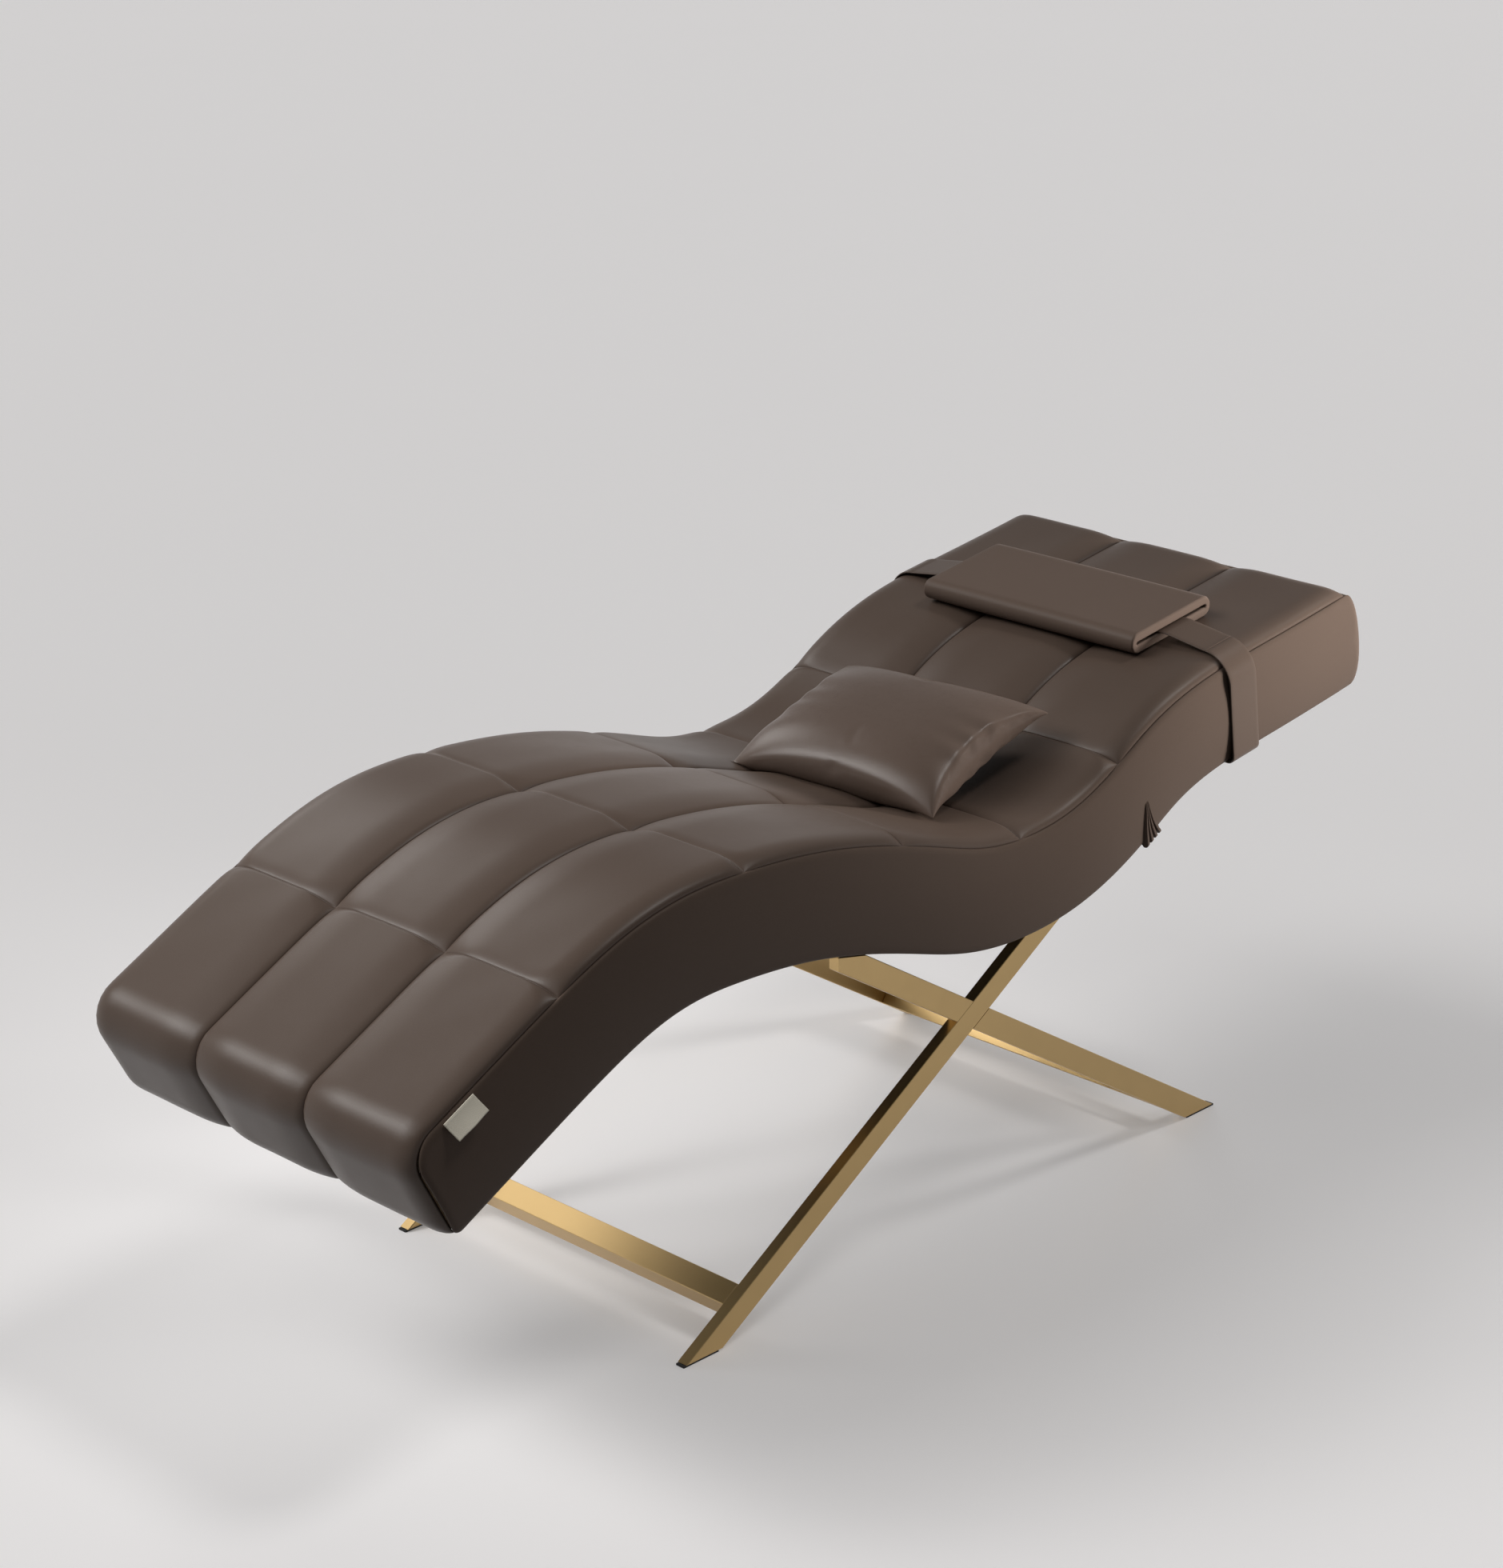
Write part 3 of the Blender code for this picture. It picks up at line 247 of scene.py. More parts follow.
def far_lamp(name, energy, direction, angle):
    """A lamp so far off that it lights the whole floor evenly; the angle softens its shadows."""
    lamp(name, "SUN", energy, direction).data.angle = math.radians(angle)


def soft_box(name, power, place, aim, size, spread, mirrored=True):
    """A rectangular lamp that faces a point, its beam narrowed to the spread, mirrored in gloss or not."""
    thing = lamp(name, "AREA", power, Vector(aim) - Vector(place), place)
    thing.data.shape = "RECTANGLE"
    thing.data.size, thing.data.size_y = size
    thing.data.spread = math.radians(spread)
    thing.visible_glossy = mirrored


far_lamp("key", 1.10, (0.8, 0.8, -1.0), 34)
far_lamp("front_fill", 0.31, (0.1, 0.6, -1.0), 30)
far_lamp("back_fill", 0.58, (-0.3, -0.4, -1.0), 13)
soft_box("left_foot_box", 2.6, (-1.9, -2.1, 2.5), (0.0, -0.70, 0.62), (1.3, 1.3), 36)
soft_box("left_box", 2.2, (-2.4, 0.2, 2.2), (0.0, 0.1, 0.65), (1.2, 1.2), 60)
soft_box("right_box", 5.0, (1.25, 1.85, 0.98), (0.3, 0.80, 0.78), (0.6, 0.4), 46, mirrored=False)

# X frame
# Flat brass-plated steel bars, half lapped and welded flush where they cross, with a stretcher low down at
# each end and a cross bar under the couch at each upper end.

BRASS_COLOUR = (0.57, 0.400, 0.185)
BRUSH_LINES = (60.0, 6.0, 900.0)
BRUSH_DEPTH = 0.00003

coords = start("brushed_brass")
brushed = noise(stretched(coords, BRUSH_LINES), 1.0, detail=3.0)
cloudy = noise(coords, 0.05)
BRASS = finish(Base_Color=cloudy.mixed(BRASS_COLOUR, darker(BRASS_COLOUR, 0.93)), Metallic=1.0,
               Roughness=0.27 + 0.06 * brushed + 0.05 * cloudy, Normal=relief(brushed, BRUSH_DEPTH))


def four(name):
    """A name four times, with an end and a side filled in."""
    return [name.format(end, side) for end in ("front", "rear") for side in ("left", "right")]


FRAME_BARS = four("{}_leg_{}") + ["front_stretcher", "rear_stretcher", "front_cross_bar", "rear_cross_bar"]


def recoat(names, material):
    """Give a material to nodes whose shape stays as it is."""
    for name in names:
        nodes[name].data.materials.clear()
        nodes[name].data.materials.append(material)


recoat(FRAME_BARS, BRASS)

# Glides
# Thin strips of black rubber under the level feet of the bars, stuck on, a little narrower than the bar.

RUBBER_COLOUR = (0.022, 0.022, 0.023)
RUBBER_WORN = (0.035, 0.035, 0.035)
RUBBER_GRAIN_DEPTH = 0.00012

coords = start("black_rubber")
RUBBER = finish(Base_Color=noise(coords, 0.006).mixed(RUBBER_COLOUR, RUBBER_WORN),
                Roughness=0.74 + 0.1 * noise(coords, 0.002),
                Normal=relief(noise(coords, 0.0009), RUBBER_GRAIN_DEPTH))
recoat(four("glide_{}_{}"), RUBBER)

# Boards and slats
# Birch plywood: two curved side boards, end boards, a bent deck board and the slats that tie them, all
# hidden under the upholstery.

BIRCH_LIGHT = (0.66, 0.50, 0.32)
BIRCH_DARK = (0.50, 0.35, 0.20)
FIBRE_WIDTH = 0.0012
FIBRE_DEPTH = 0.00012

coords = start("birch_veneer")
figure = Shade.node("ShaderNodeTexWave", {"wave_type": "RINGS", "rings_direction": "Y"},
                    {"Vector": stretched(coords, (1.0, 0.08, 1.0)), "Scale": 22.0, "Distortion": 6.0,
                     "Detail": 3.0})
fibres = noise(stretched(coords, (1.0, 0.03, 1.0)), FIBRE_WIDTH, detail=3.0)
BIRCH = finish(Base_Color=(0.65 * figure + 0.35 * fibres).mixed(BIRCH_LIGHT, BIRCH_DARK),
               Roughness=0.52 + 0.14 * fibres, Normal=relief(fibres, FIBRE_DEPTH))
recoat(["side_board_left", "side_board_right", "foot_board", "head_board", "deck_board", "front_mount_slat",
        "rear_mount_slat"] + ["cross_slat_" + str(n) for n in range(1, 5)], BIRCH)

# Steel fittings
# Four zinc-plated plates and the M8 bolts and tee nuts that hold the frame to the two mounting slats.

ZINC_COLOUR = (0.56, 0.57, 0.58)
SPANGLE_SIZE = 0.004
ZINC_GRAIN_DEPTH = 0.00004

coords = start("zinc_plating")
spangle = Shade.node("ShaderNodeTexVoronoi", sockets={"Vector": coords, "Scale": 1 / SPANGLE_SIZE})
ZINC = finish(Base_Color=spangle.mixed(ZINC_COLOUR, darker(ZINC_COLOUR, 0.82)), Metallic=1.0,
              Roughness=0.32 + 0.12 * spangle, Normal=relief(noise(coords, 0.0015), ZINC_GRAIN_DEPTH))
recoat(four("{}_mount_plate_{}"), ZINC)
recoat([kind + str(n) for kind in ("mount_bolt_", "tee_nut_") for n in range(1, 9)], ZINC)

# Foam
# A soft topper that rolls over the nose, and a firm base between the boards, both cut from cream open-cell
# foam and laid along the couch's one curve.

BODY_LENGTH = 1.908
BODY_TOP = 0.778
BODY_THICKNESS = 0.148
BODY_SET_BACK = 0.0034
HALF_WIDTH = 0.325
NOSE_RADIUS = 0.040
TOE_RADIUS = 0.012
HEAD_REACH = 0.0275
PROFILE_SHARES = (
    (0.0150, 0.6557), (0.0784, 0.7368), (0.1351, 0.8064), (0.1891, 0.8600), (0.2413, 0.8872),
    (0.3027, 0.8900), (0.3646, 0.8774), (0.4333, 0.8447), (0.4986, 0.7981), (0.5469, 0.7646),
    (0.5951, 0.7556), (0.6434, 0.7723), (0.6860, 0.8134), (0.7314, 0.8747), (0.7797, 0.9199),
    (0.8365, 0.9485), (0.8989, 0.9701), (0.9784, 0.9993),
)
SEAM_SHARES = (0.1261, 0.2967, 0.4560, 0.5855, 0.6973, 0.8365)
FOAM_HALF_WIDTH = 0.3160
FOAM_GAP = 0.0006
TOPPER_FLOOR = NOSE_RADIUS
BASE_HALF_WIDTH = 0.3055
BASE_FLOOR = 0.0800
BOARD_END = 0.0128
FOAM_POWER = 8
FOAM_WAVE = 0.0004
FOAM_COLOUR = (0.80, 0.755, 0.60)
FOAM_PORE_COLOUR = (0.70, 0.62, 0.44)
FOAM_CELL = 0.0014
FOAM_CELL_DEPTH = 0.0006


def spline_through(knots):
    """Cubic through the knots with unbent ends; gives heights and slopes at any places along it."""
    y, z = np.array(knots).T
    gap = np.diff(y)
    rise = np.diff(z) / gap
    system = np.eye(len(y))
    load = np.zeros(len(y))
    for i in range(1, len(y) - 1):
        system[i, i - 1:i + 2] = gap[i - 1], 2 * (gap[i - 1] + gap[i]), gap[i]
        load[i] = 6 * (rise[i] - rise[i - 1])
    bend = np.linalg.solve(system, load)

    def height_and_slope(at):
        i = np.clip(np.searchsorted(y, at) - 1, 0, len(gap) - 1)
        step, before, after = gap[i], y[i + 1] - at, at - y[i]
        low, high = bend[i], bend[i + 1]
        height = ((low * before ** 3 + high * after ** 3) / (6 * step)
                  + (z[i] / step - low * step / 6) * before + (z[i + 1] / step - high * step / 6) * after)
        slope = (high * after ** 2 - low * before ** 2) / (2 * step) + rise[i] - (high - low) * step / 6
        return height, slope

    return height_and_slope


def along(share):
    """Place along Y of a share of the couch's length."""
    return (share - 0.5) * BODY_LENGTH + BODY_SET_BACK


SEAM_CURVE = spline_through([(along(share), height * BODY_TOP) for share, height in PROFILE_SHARES])
SPINE_Y = np.linspace(along(PROFILE_SHARES[0][0]), along(PROFILE_SHARES[-1][0]), 3001)
SPINE_S = np.concatenate([[0.0], np.cumsum(np.hypot(np.diff(SPINE_Y), np.diff(SEAM_CURVE(SPINE_Y)[0])))])
SPINE_LENGTH = SPINE_S[-1]


def length_at(share):
    """Length along the top side seam at a share, or several, of the couch's length."""
    return np.interp(along(np.asarray(share)), SPINE_Y, SPINE_S)


def spine(s):
    """Points, directions and upward normals in (y, z) at lengths s along the top side seam.

    The seam is the spline through the profile's knots, and runs on straight past both of its ends.
    """
    on = np.clip(s, 0.0, SPINE_LENGTH)
    y = np.interp(on, SPINE_S, SPINE_Y)
    z, slope = SEAM_CURVE(y)
    run = np.stack([np.ones_like(slope), slope], -1) / np.hypot(1.0, slope)[..., None]
    up = np.stack([-run[..., 1], run[..., 0]], -1)
    return np.stack([y, z], -1) + (s - on)[..., None] * run, run, up


def in_body(x, s, down):
    """Points at a place x across the couch, a length s along the top seam and a depth square to it."""
    x, s, down = np.broadcast_arrays(x, s, down)
    seam, _, up = spine(s)
    place = seam - down[..., None] * up
    return np.stack([x, place[..., 0], place[..., 1]], -1)


def crowded(count, crowding=0.8):
    """Shares from 0 to 1 in a number of steps that grow small towards both ends, as along a sine."""
    share = np.linspace(0.0, 1.0, count + 1)
    return share - crowding * np.sin(2 * np.pi * share) / (2 * np.pi)


def quads_of(number):
    """Faces between the neighbours of a grid of corner numbers."""
    return np.stack([number[:-1, :-1], number[:-1, 1:], number[1:, 1:], number[1:, :-1]], -1).reshape(-1, 4)


def skin(name, grid, round_rows=False, round_columns=False, turned=False):
    """A smooth piece over a grid of points; either way round the grid may close on itself."""
    rows, columns = grid.shape[:2]
    number = np.arange(rows * columns).reshape(rows, columns)
    if round_rows:
        number = np.vstack([number, number[:1]])
    if round_columns:
        number = np.hstack([number, number[:, :1]])
    quads = quads_of(number)
    if turned:
        quads = quads[:, ::-1]
    return shape_of(name, grid, quads)


def capped(piece):
    """Close the open rims of a piece with flat faces and turn all its faces outwards."""
    form = bmesh.new()
    form.from_mesh(piece.data)
    bmesh.ops.holes_fill(form, edges=[edge for edge in form.edges if edge.is_boundary], sides=0)
    bmesh.ops.recalc_face_normals(form, faces=form.faces)
    form.to_mesh(piece.data)
    form.free()
    return piece


def thickened(piece, thickness, offset=-1.0):
    """Give a sheet its thickness, on the side that its faces turn their backs to unless it's offset."""
    wall = piece.modifiers.new("thickness", "SOLIDIFY")
    wall.thickness = thickness
    wall.offset = offset
    return piece


def set_in(piece, body, material, slot, *replaced):
    """Give a piece its material, the body it rides on and the nodes that it stands for; the slot is not used.
    """
    piece.data.materials.append(material)
    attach(piece, body)
    if replaced:
        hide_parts(*replaced)
    return piece


def foam_layer(name, s, top, bottom, half_width):
    """A long slab: at each s a flat section with rounded edges, from a top to a bottom depth.

    The section is a superellipse of power 8, so its flats bulge by a hair and its corners are round.
    """
    turn = np.linspace(0.0, 2 * np.pi, 72, endpoint=False)
    across = np.sign(np.cos(turn)) * np.abs(np.cos(turn)) ** (2 / FOAM_POWER)
    deep = np.sign(np.sin(turn)) * np.abs(np.sin(turn)) ** (2 / FOAM_POWER)
    middle, thick = (top + bottom) / 2, (bottom - top) / 2
    wave = FOAM_WAVE * np.sin(37.0 * s)[:, None] * np.cos(3 * turn)[None, :]
    down = middle[:, None] - thick[:, None] * deep[None, :] + wave
    return capped(skin(name, in_body(half_width * across[None, :], s[:, None], down), round_columns=True))


coords = start("foam_cells")
cells = Shade.node("ShaderNodeTexVoronoi", {"feature": "F1"}, {"Vector": coords, "Scale": 1 / FOAM_CELL})
pores = noise(coords, FOAM_CELL / 2, detail=3.0)
FOAM = finish(Base_Color=(0.6 * cells + 0.4 * pores).clamped().mixed(FOAM_PORE_COLOUR, FOAM_COLOUR),
              Roughness=0.88 + 0.1 * pores, Normal=relief(0.7 * cells + 0.3 * pores, FOAM_CELL_DEPTH))
topper_s = np.concatenate([-NOSE_RADIUS * np.cos(np.linspace(0.12, np.pi / 2, 14)),
                           np.linspace(0.006, SPINE_LENGTH, 260)])
topper_top = (NOSE_RADIUS - np.sqrt(np.maximum(NOSE_RADIUS ** 2 - np.minimum(topper_s, 0.0) ** 2, 0.0))
              + FOAM_GAP)
topper = foam_layer("foam_topper_soft", topper_s, topper_top, np.full_like(topper_s, TOPPER_FLOOR - FOAM_GAP),
                    FOAM_HALF_WIDTH)
set_in(topper, "couch", FOAM, "cream_foam", "foam_topper")
base_s = np.linspace(BOARD_END - NOSE_RADIUS, SPINE_LENGTH - BOARD_END, 240)
base = foam_layer("foam_base_firm", base_s, np.full_like(base_s, TOPPER_FLOOR + FOAM_GAP),
                  np.full_like(base_s, BASE_FLOOR), BASE_HALF_WIDTH)
set_in(base, "couch", FOAM, "cream_foam", "foam_base")

# Side panels
# One long strip of coated leather down each side, lightly padded, drawn in all round its edge where it is
# sewn to the cover above, to the head end panel and to the bottom of the board inside.

LEATHER_COLOUR = (0.108, 0.078, 0.061)
LEATHER_DEEP = (0.090, 0.063, 0.049)
LEATHER_WALL = 0.0012
LEATHER_CELL = 0.0012
LEATHER_DRIFT, LEATHER_BEND = 0.004, 0.0010
LEATHER_PORE = 0.00045
LEATHER_BLOT = 0.16
LEATHER_WEAR = 0.018
LEATHER_GRAIN_DEPTH = 0.00004
PANEL_BULGE = 0.0072
PANEL_OUT = 0.3304
PANEL_RIM_TOP = 0.0040
PANEL_RIM_BOTTOM = 0.0030
PANEL_RIM_REACH = 0.0080
PANEL_HEAD_REACH = 0.0260
SIDE_HEAD_REACH = HEAD_REACH - 0.006
PANEL_STEPS = (330, 34)


def leather(name, colour, deep, roughness, gloss):
    """Coated leather: a fine net of bent creases round cells of about 1 mm, pores in it, and soft blots."""
    coords = start(name)
    drift = Shade.node("ShaderNodeTexNoise", sockets={"Vector": coords, "Scale": 1 / LEATHER_DRIFT}, output=1)
    shift = Shade.node("ShaderNodeVectorMath", {"operation": "SCALE"}, {0: drift, "Scale": LEATHER_BEND})
    bent = Shade.node("ShaderNodeVectorMath", {"operation": "ADD"}, {0: coords, 1: shift})
    net = Shade.node("ShaderNodeTexVoronoi", {"feature": "DISTANCE_TO_EDGE"},
                     {"Vector": bent, "Scale": 1 / LEATHER_CELL})
    cell = (3.2 * net).clamped()
    pores = noise(coords, LEATHER_PORE)
    blots = noise(coords, LEATHER_BLOT, detail=3.0)
    worn = noise(coords, LEATHER_WEAR, detail=4.0)
    tone = (0.55 * cell + 0.30 * blots + 0.15 * worn).clamped().mixed(deep, colour)
    return finish(Base_Color=tone, Roughness=roughness + 0.05 * worn - 0.03 * cell, Specular_IOR_Level=gloss,
                  Normal=relief(0.75 * cell + 0.25 * pores, LEATHER_GRAIN_DEPTH))


SIDE_LEATHER = leather("side_leather", LEATHER_COLOUR, LEATHER_DEEP, 0.46, gloss=0.12)


def quarter_round(gap, reach):
    """Share of a drop at a gap from an edge: 1 at the edge, falling round a quarter ellipse to 0."""
    return 1 - np.sqrt(1 - np.clip(1 - gap / reach, 0.0, 1.0) ** 2)


def side_gap(s, down):
    """Distance to the side's outline: level above and below, round at the nose, toe and head end.

    The head end is a superellipse of power 3; the gap there is taken along the ray from its middle.
    """
    gap = np.minimum(np.minimum(down, BODY_THICKNESS - down), s + NOSE_RADIUS)
    in_nose = (s < 0) & (down < NOSE_RADIUS)
    gap = np.where(in_nose, NOSE_RADIUS - np.hypot(s, down - NOSE_RADIUS), gap)
    toe_s, toe_down = s + NOSE_RADIUS - TOE_RADIUS, down - BODY_THICKNESS + TOE_RADIUS
    in_toe = (toe_s < 0) & (toe_down > 0)
    gap = np.where(in_toe, TOE_RADIUS - np.hypot(toe_s, toe_down), gap)
    out = np.maximum(s - SPINE_LENGTH, 0.0)
    deep = np.abs(down - BODY_THICKNESS / 2)
    share = ((out / SIDE_HEAD_REACH) ** 3 + (2 * deep / BODY_THICKNESS) ** 3) ** (1 / 3)
    ray = (1 / np.maximum(share, 0.02) - 1) * np.hypot(out, deep)
    return np.maximum(np.where(s > SPINE_LENGTH, ray, gap), 0.0)


def side_bounds(s):
    """Highest and lowest depth of the side at each s, along its nose, toe and head end."""
    out = np.maximum(-s, 0.0)
    top = NOSE_RADIUS - np.sqrt(np.maximum(NOSE_RADIUS ** 2 - out ** 2, 0.0))
    past = np.maximum(out - NOSE_RADIUS + TOE_RADIUS, 0.0)
    bottom = BODY_THICKNESS - TOE_RADIUS + np.sqrt(np.maximum(TOE_RADIUS ** 2 - past ** 2, 0.0))
    reach = np.clip((s - SPINE_LENGTH) / SIDE_HEAD_REACH, 0.0, 1.0)
    half = BODY_THICKNESS / 2 * (1 - reach ** 3) ** (1 / 3)
    at_head = s > SPINE_LENGTH
    top = np.where(at_head, BODY_THICKNESS / 2 - half, top)
    bottom = np.where(at_head, BODY_THICKNESS / 2 + half, bottom)
    return top, bottom


def side_panel(word, side):
    """A padded side: depth runs between the outline's bounds, and x falls from its bulge to the rim.

    The bulge is a parabola over the depth, and the rim is a quarter round along the whole outline,
    widest at the head end, where the corner is soft.
    """
    foot = -NOSE_RADIUS * np.cos(np.linspace(0.0, np.pi / 2, 22)[:-1])
    head = SPINE_LENGTH + SIDE_HEAD_REACH * np.sin(np.linspace(0.0, np.pi / 2, 16)[1:-1])
    s = np.concatenate([foot, np.linspace(0.0, SPINE_LENGTH, PANEL_STEPS[0]), head])
    share = crowded(PANEL_STEPS[1], 0.86)
    top, bottom = side_bounds(s)
    down = top[:, None] + (bottom - top)[:, None] * share[None, :]
    gap = side_gap(s[:, None], down)
    bulge = 1 - (2 * down / BODY_THICKNESS - 1) ** 2
    rim = np.interp(down / BODY_THICKNESS, [0.25, 0.75], [PANEL_RIM_TOP, PANEL_RIM_BOTTOM])
    reach = np.interp(s[:, None], [SPINE_LENGTH - 0.03, SPINE_LENGTH], [PANEL_RIM_REACH, PANEL_HEAD_REACH])
    x = PANEL_OUT - PANEL_BULGE * (1 - bulge) - rim * quarter_round(gap, reach)
    grid = in_body(side * x, s[:, None], down)
    piece = skin("side_panel_" + word + "_skin", grid, turned=side > 0)
    return thickened(piece, LEATHER_WALL)


for word, side in (("left", -1), ("right", 1)):
    panel = side_panel(word, side)
    set_in(panel, "couch", SIDE_LEATHER, "taupe_leather", "side_panel_" + word)

# Head end panel
# A convex padded panel of the same leather across the head end, sewn to the side panels at its upright
# edges and to the cover along its top.

HEAD_PANEL_HALF = 0.3205
HEAD_CORNER_REACH = 0.040
HEAD_STEPS = (80, 44)

share = crowded(HEAD_STEPS[0], 0.9)
head_x = HEAD_PANEL_HALF * (2 * share - 1)
turn = np.linspace(0.0, np.pi, HEAD_STEPS[1] + 1)
bulge = (1 - np.abs(np.cos(turn)) ** 3) ** (1 / 3)
corner = quarter_round(HEAD_PANEL_HALF - np.abs(head_x), HEAD_CORNER_REACH)
reach = HEAD_REACH - (HEAD_REACH - SIDE_HEAD_REACH) * corner
grid = in_body(head_x[None, :], SPINE_LENGTH + reach[None, :] * bulge[:, None],
               BODY_THICKNESS * (1 - np.cos(turn))[:, None] / 2)
head_panel = thickened(skin("head_end_skin", grid), LEATHER_WALL)
set_in(head_panel, "couch", SIDE_LEATHER, "taupe_leather", "head_end_panel")

# Quilted cover
# Twenty-one puffed panels, three across and seven along, in one cover that rolls over the nose and down the
# foot face.  The cross seams are sharp creases, the long seams soft valleys, and the outer edge a round lip.

COLUMNS = 3
COVER_TOP = 0.0156
QUILT_HALF_WIDTH = 0.3196
SEAM_LIFT = 0.0030
LOW_REACH = 0.07
COLUMN_REACH, COLUMN_POWER = 0.066, 0.85
EDGE_REACH, EDGE_POWER = 0.034, 0.42
BEFORE_SEAM_REACH, BEFORE_SEAM_POWER = 0.004, 0.50
AFTER_SEAM_REACH, AFTER_SEAM_POWER = 0.022, 0.45
CROSS_DEPTH = 0.25
PINCH_REACH = 0.054
PINCH_SPREAD = 0.038
CREASE_REACH, CREASE_POWER = 0.011, 0.5
CREASE_SHARE = 0.28
TOE_REACH, TOE_POWER = 0.030, 0.5
HEAD_FALL_REACH, HEAD_FALL_POWER = 0.022, 0.4
QUILT_WAVE = 0.00035
NOSE_STEPS, ROW_STEPS, COLUMN_STEPS = 72, 44, 46
TOE_WRAP = math.radians(135)
COVER_WALL = 0.0014
COLUMN_WIDTH = 2 * HALF_WIDTH / COLUMNS
TOE_RUN = TOE_RADIUS * (TOE_WRAP - np.pi / 2)
FACE_RUN = BODY_THICKNESS - NOSE_RADIUS - TOE_RADIUS
NOSE_RUN = NOSE_RADIUS * np.pi / 2
COVER_KNOTS = np.cumsum([0.0, TOE_RUN, FACE_RUN, NOSE_RUN, SPINE_LENGTH])


def cover_line(t):
    """Sewn line of the cover at lengths t from its end under the toe: (s, down) and its outward turn.

    It is the toe's arc, the straight foot face, the nose's arc and then the top seam; the turn is 0 where
    the cover faces up and a right angle where it faces the foot end.
    """
    toe_end, face_end, nose_end = COVER_KNOTS[1:4]
    turn = np.interp(t, COVER_KNOTS, [TOE_WRAP, np.pi / 2, np.pi / 2, 0.0, 0.0])
    on_toe, on_face, on_nose = t < toe_end, t < face_end, t < nose_end
    s = np.where(on_toe, TOE_RADIUS - NOSE_RADIUS - TOE_RADIUS * np.sin(turn),
                 np.where(on_nose, -NOSE_RADIUS * np.sin(turn), t - nose_end))
    down = np.where(on_toe, BODY_THICKNESS - TOE_RADIUS - TOE_RADIUS * np.cos(turn),
                    np.where(on_face, BODY_THICKNESS - TOE_RADIUS - (t - toe_end),
                             np.where(on_nose, NOSE_RADIUS - NOSE_RADIUS * np.cos(turn), 0.0)))
    return s, down, turn


def fall(gap, reach, power):
    """Share of the fall from a panel's top to a seam at a gap from it; a low power rounds its edge."""
    return 1 - (1 - np.clip(1 - gap / reach, 0.0, 1.0) ** 2) ** power


ROW_ENDS = np.concatenate([[0.0], COVER_KNOTS[3] + length_at(SEAM_SHARES), COVER_KNOTS[4:]])


def puff(x, t):
    """Height of the quilting over its sewn line.

    Across, each panel falls to a soft valley at a long seam and round a lip at the outer edge.  Along, it
    falls by a share of that height at a cross seam, and all the way where seams meet and at both ends.  It
    runs on nearly flat up to a cross seam, and the next panel rolls up over a longer reach.
    """
    edge = QUILT_HALF_WIDTH - np.abs(x)
    seam = np.abs(np.abs(x) - COLUMN_WIDTH / 2)
    valley = ((1 - CREASE_SHARE) * fall(seam, COLUMN_REACH, COLUMN_POWER)
              + CREASE_SHARE * fall(seam, CREASE_REACH, CREASE_POWER))
    across = (1 - fall(edge, EDGE_REACH, EDGE_POWER)) * (1 - valley)
    pinch = np.maximum(fall(edge, PINCH_REACH, 1.0), fall(seam, PINCH_REACH, 1.0))
    row = np.clip(np.searchsorted(ROW_ENDS, t, side="right") - 1, 0, len(ROW_ENDS) - 2)
    before, after = t - ROW_ENDS[row], ROW_ENDS[row + 1] - t
    toe, head = row == 0, row == len(ROW_ENDS) - 2
    depth = CROSS_DEPTH + (1 - CROSS_DEPTH) * pinch
    spread = PINCH_SPREAD * pinch
    cut_before = np.where(toe, fall(before, TOE_REACH, TOE_POWER),
                          depth * fall(before, AFTER_SEAM_REACH + spread, AFTER_SEAM_POWER))
    cut_after = np.where(head, fall(after, HEAD_FALL_REACH, HEAD_FALL_POWER),
                         depth * fall(after, BEFORE_SEAM_REACH + spread, BEFORE_SEAM_POWER))
    low = (SEAM_LIFT * (1 - fall(before, LOW_REACH, 1.0)) * (1 - fall(after, LOW_REACH, 1.0))
           * np.clip(1 - 2 * seam / COLUMN_WIDTH, 0.0, 1.0) ** 2)
    share = across * (1 - cut_before) * (1 - cut_after)
    soft = QUILT_WAVE * np.sin(31 * x + 2.1 * np.sin(9 * t)) * np.sin(23 * t + 1.7 * np.sin(14 * x))
    return low + (COVER_TOP - low + soft) * share


def quilted_cover():
    """The cover's skin: its grid crowds towards every seam, and each point stands out by the puff."""
    seams = [-QUILT_HALF_WIDTH, -COLUMN_WIDTH / 2, COLUMN_WIDTH / 2, QUILT_HALF_WIDTH]
    x = np.concatenate([[seams[0]]] + [low + (high - low) * crowded(COLUMN_STEPS, 0.90)[1:]
                                       for low, high in zip(seams[:-1], seams[1:])])
    rows = []
    for number, (low, high) in enumerate(zip(ROW_ENDS[:-1], ROW_ENDS[1:])):
        steps = NOSE_STEPS if number == 0 else ROW_STEPS
        rows.append(low + (high - low) * crowded(steps, 0.92)[:-1])
    t = np.concatenate(rows + [ROW_ENDS[-1:]])
    s, down, turn = cover_line(t)
    height = puff(x[None, :], t[:, None])
    grid = in_body(x[None, :], s[:, None] - height * np.sin(turn)[:, None],
                   down[:, None] - height * np.cos(turn)[:, None])
    return thickened(skin("quilted_cover_skin", grid), COVER_WALL)


SEAT_LEATHER = leather("seat_leather", LEATHER_COLOUR, LEATHER_DEEP, 0.33, gloss=0.22)
quilt = quilted_cover()
set_in(quilt, "couch", SEAT_LEATHER, "taupe_leather", "quilted_cover")

# Bellows pleats
# Four folds of the side panels' leather, gathered into a point above and open in round lobes at the lower
# edge, where the back begins to rise and the panel has to give.

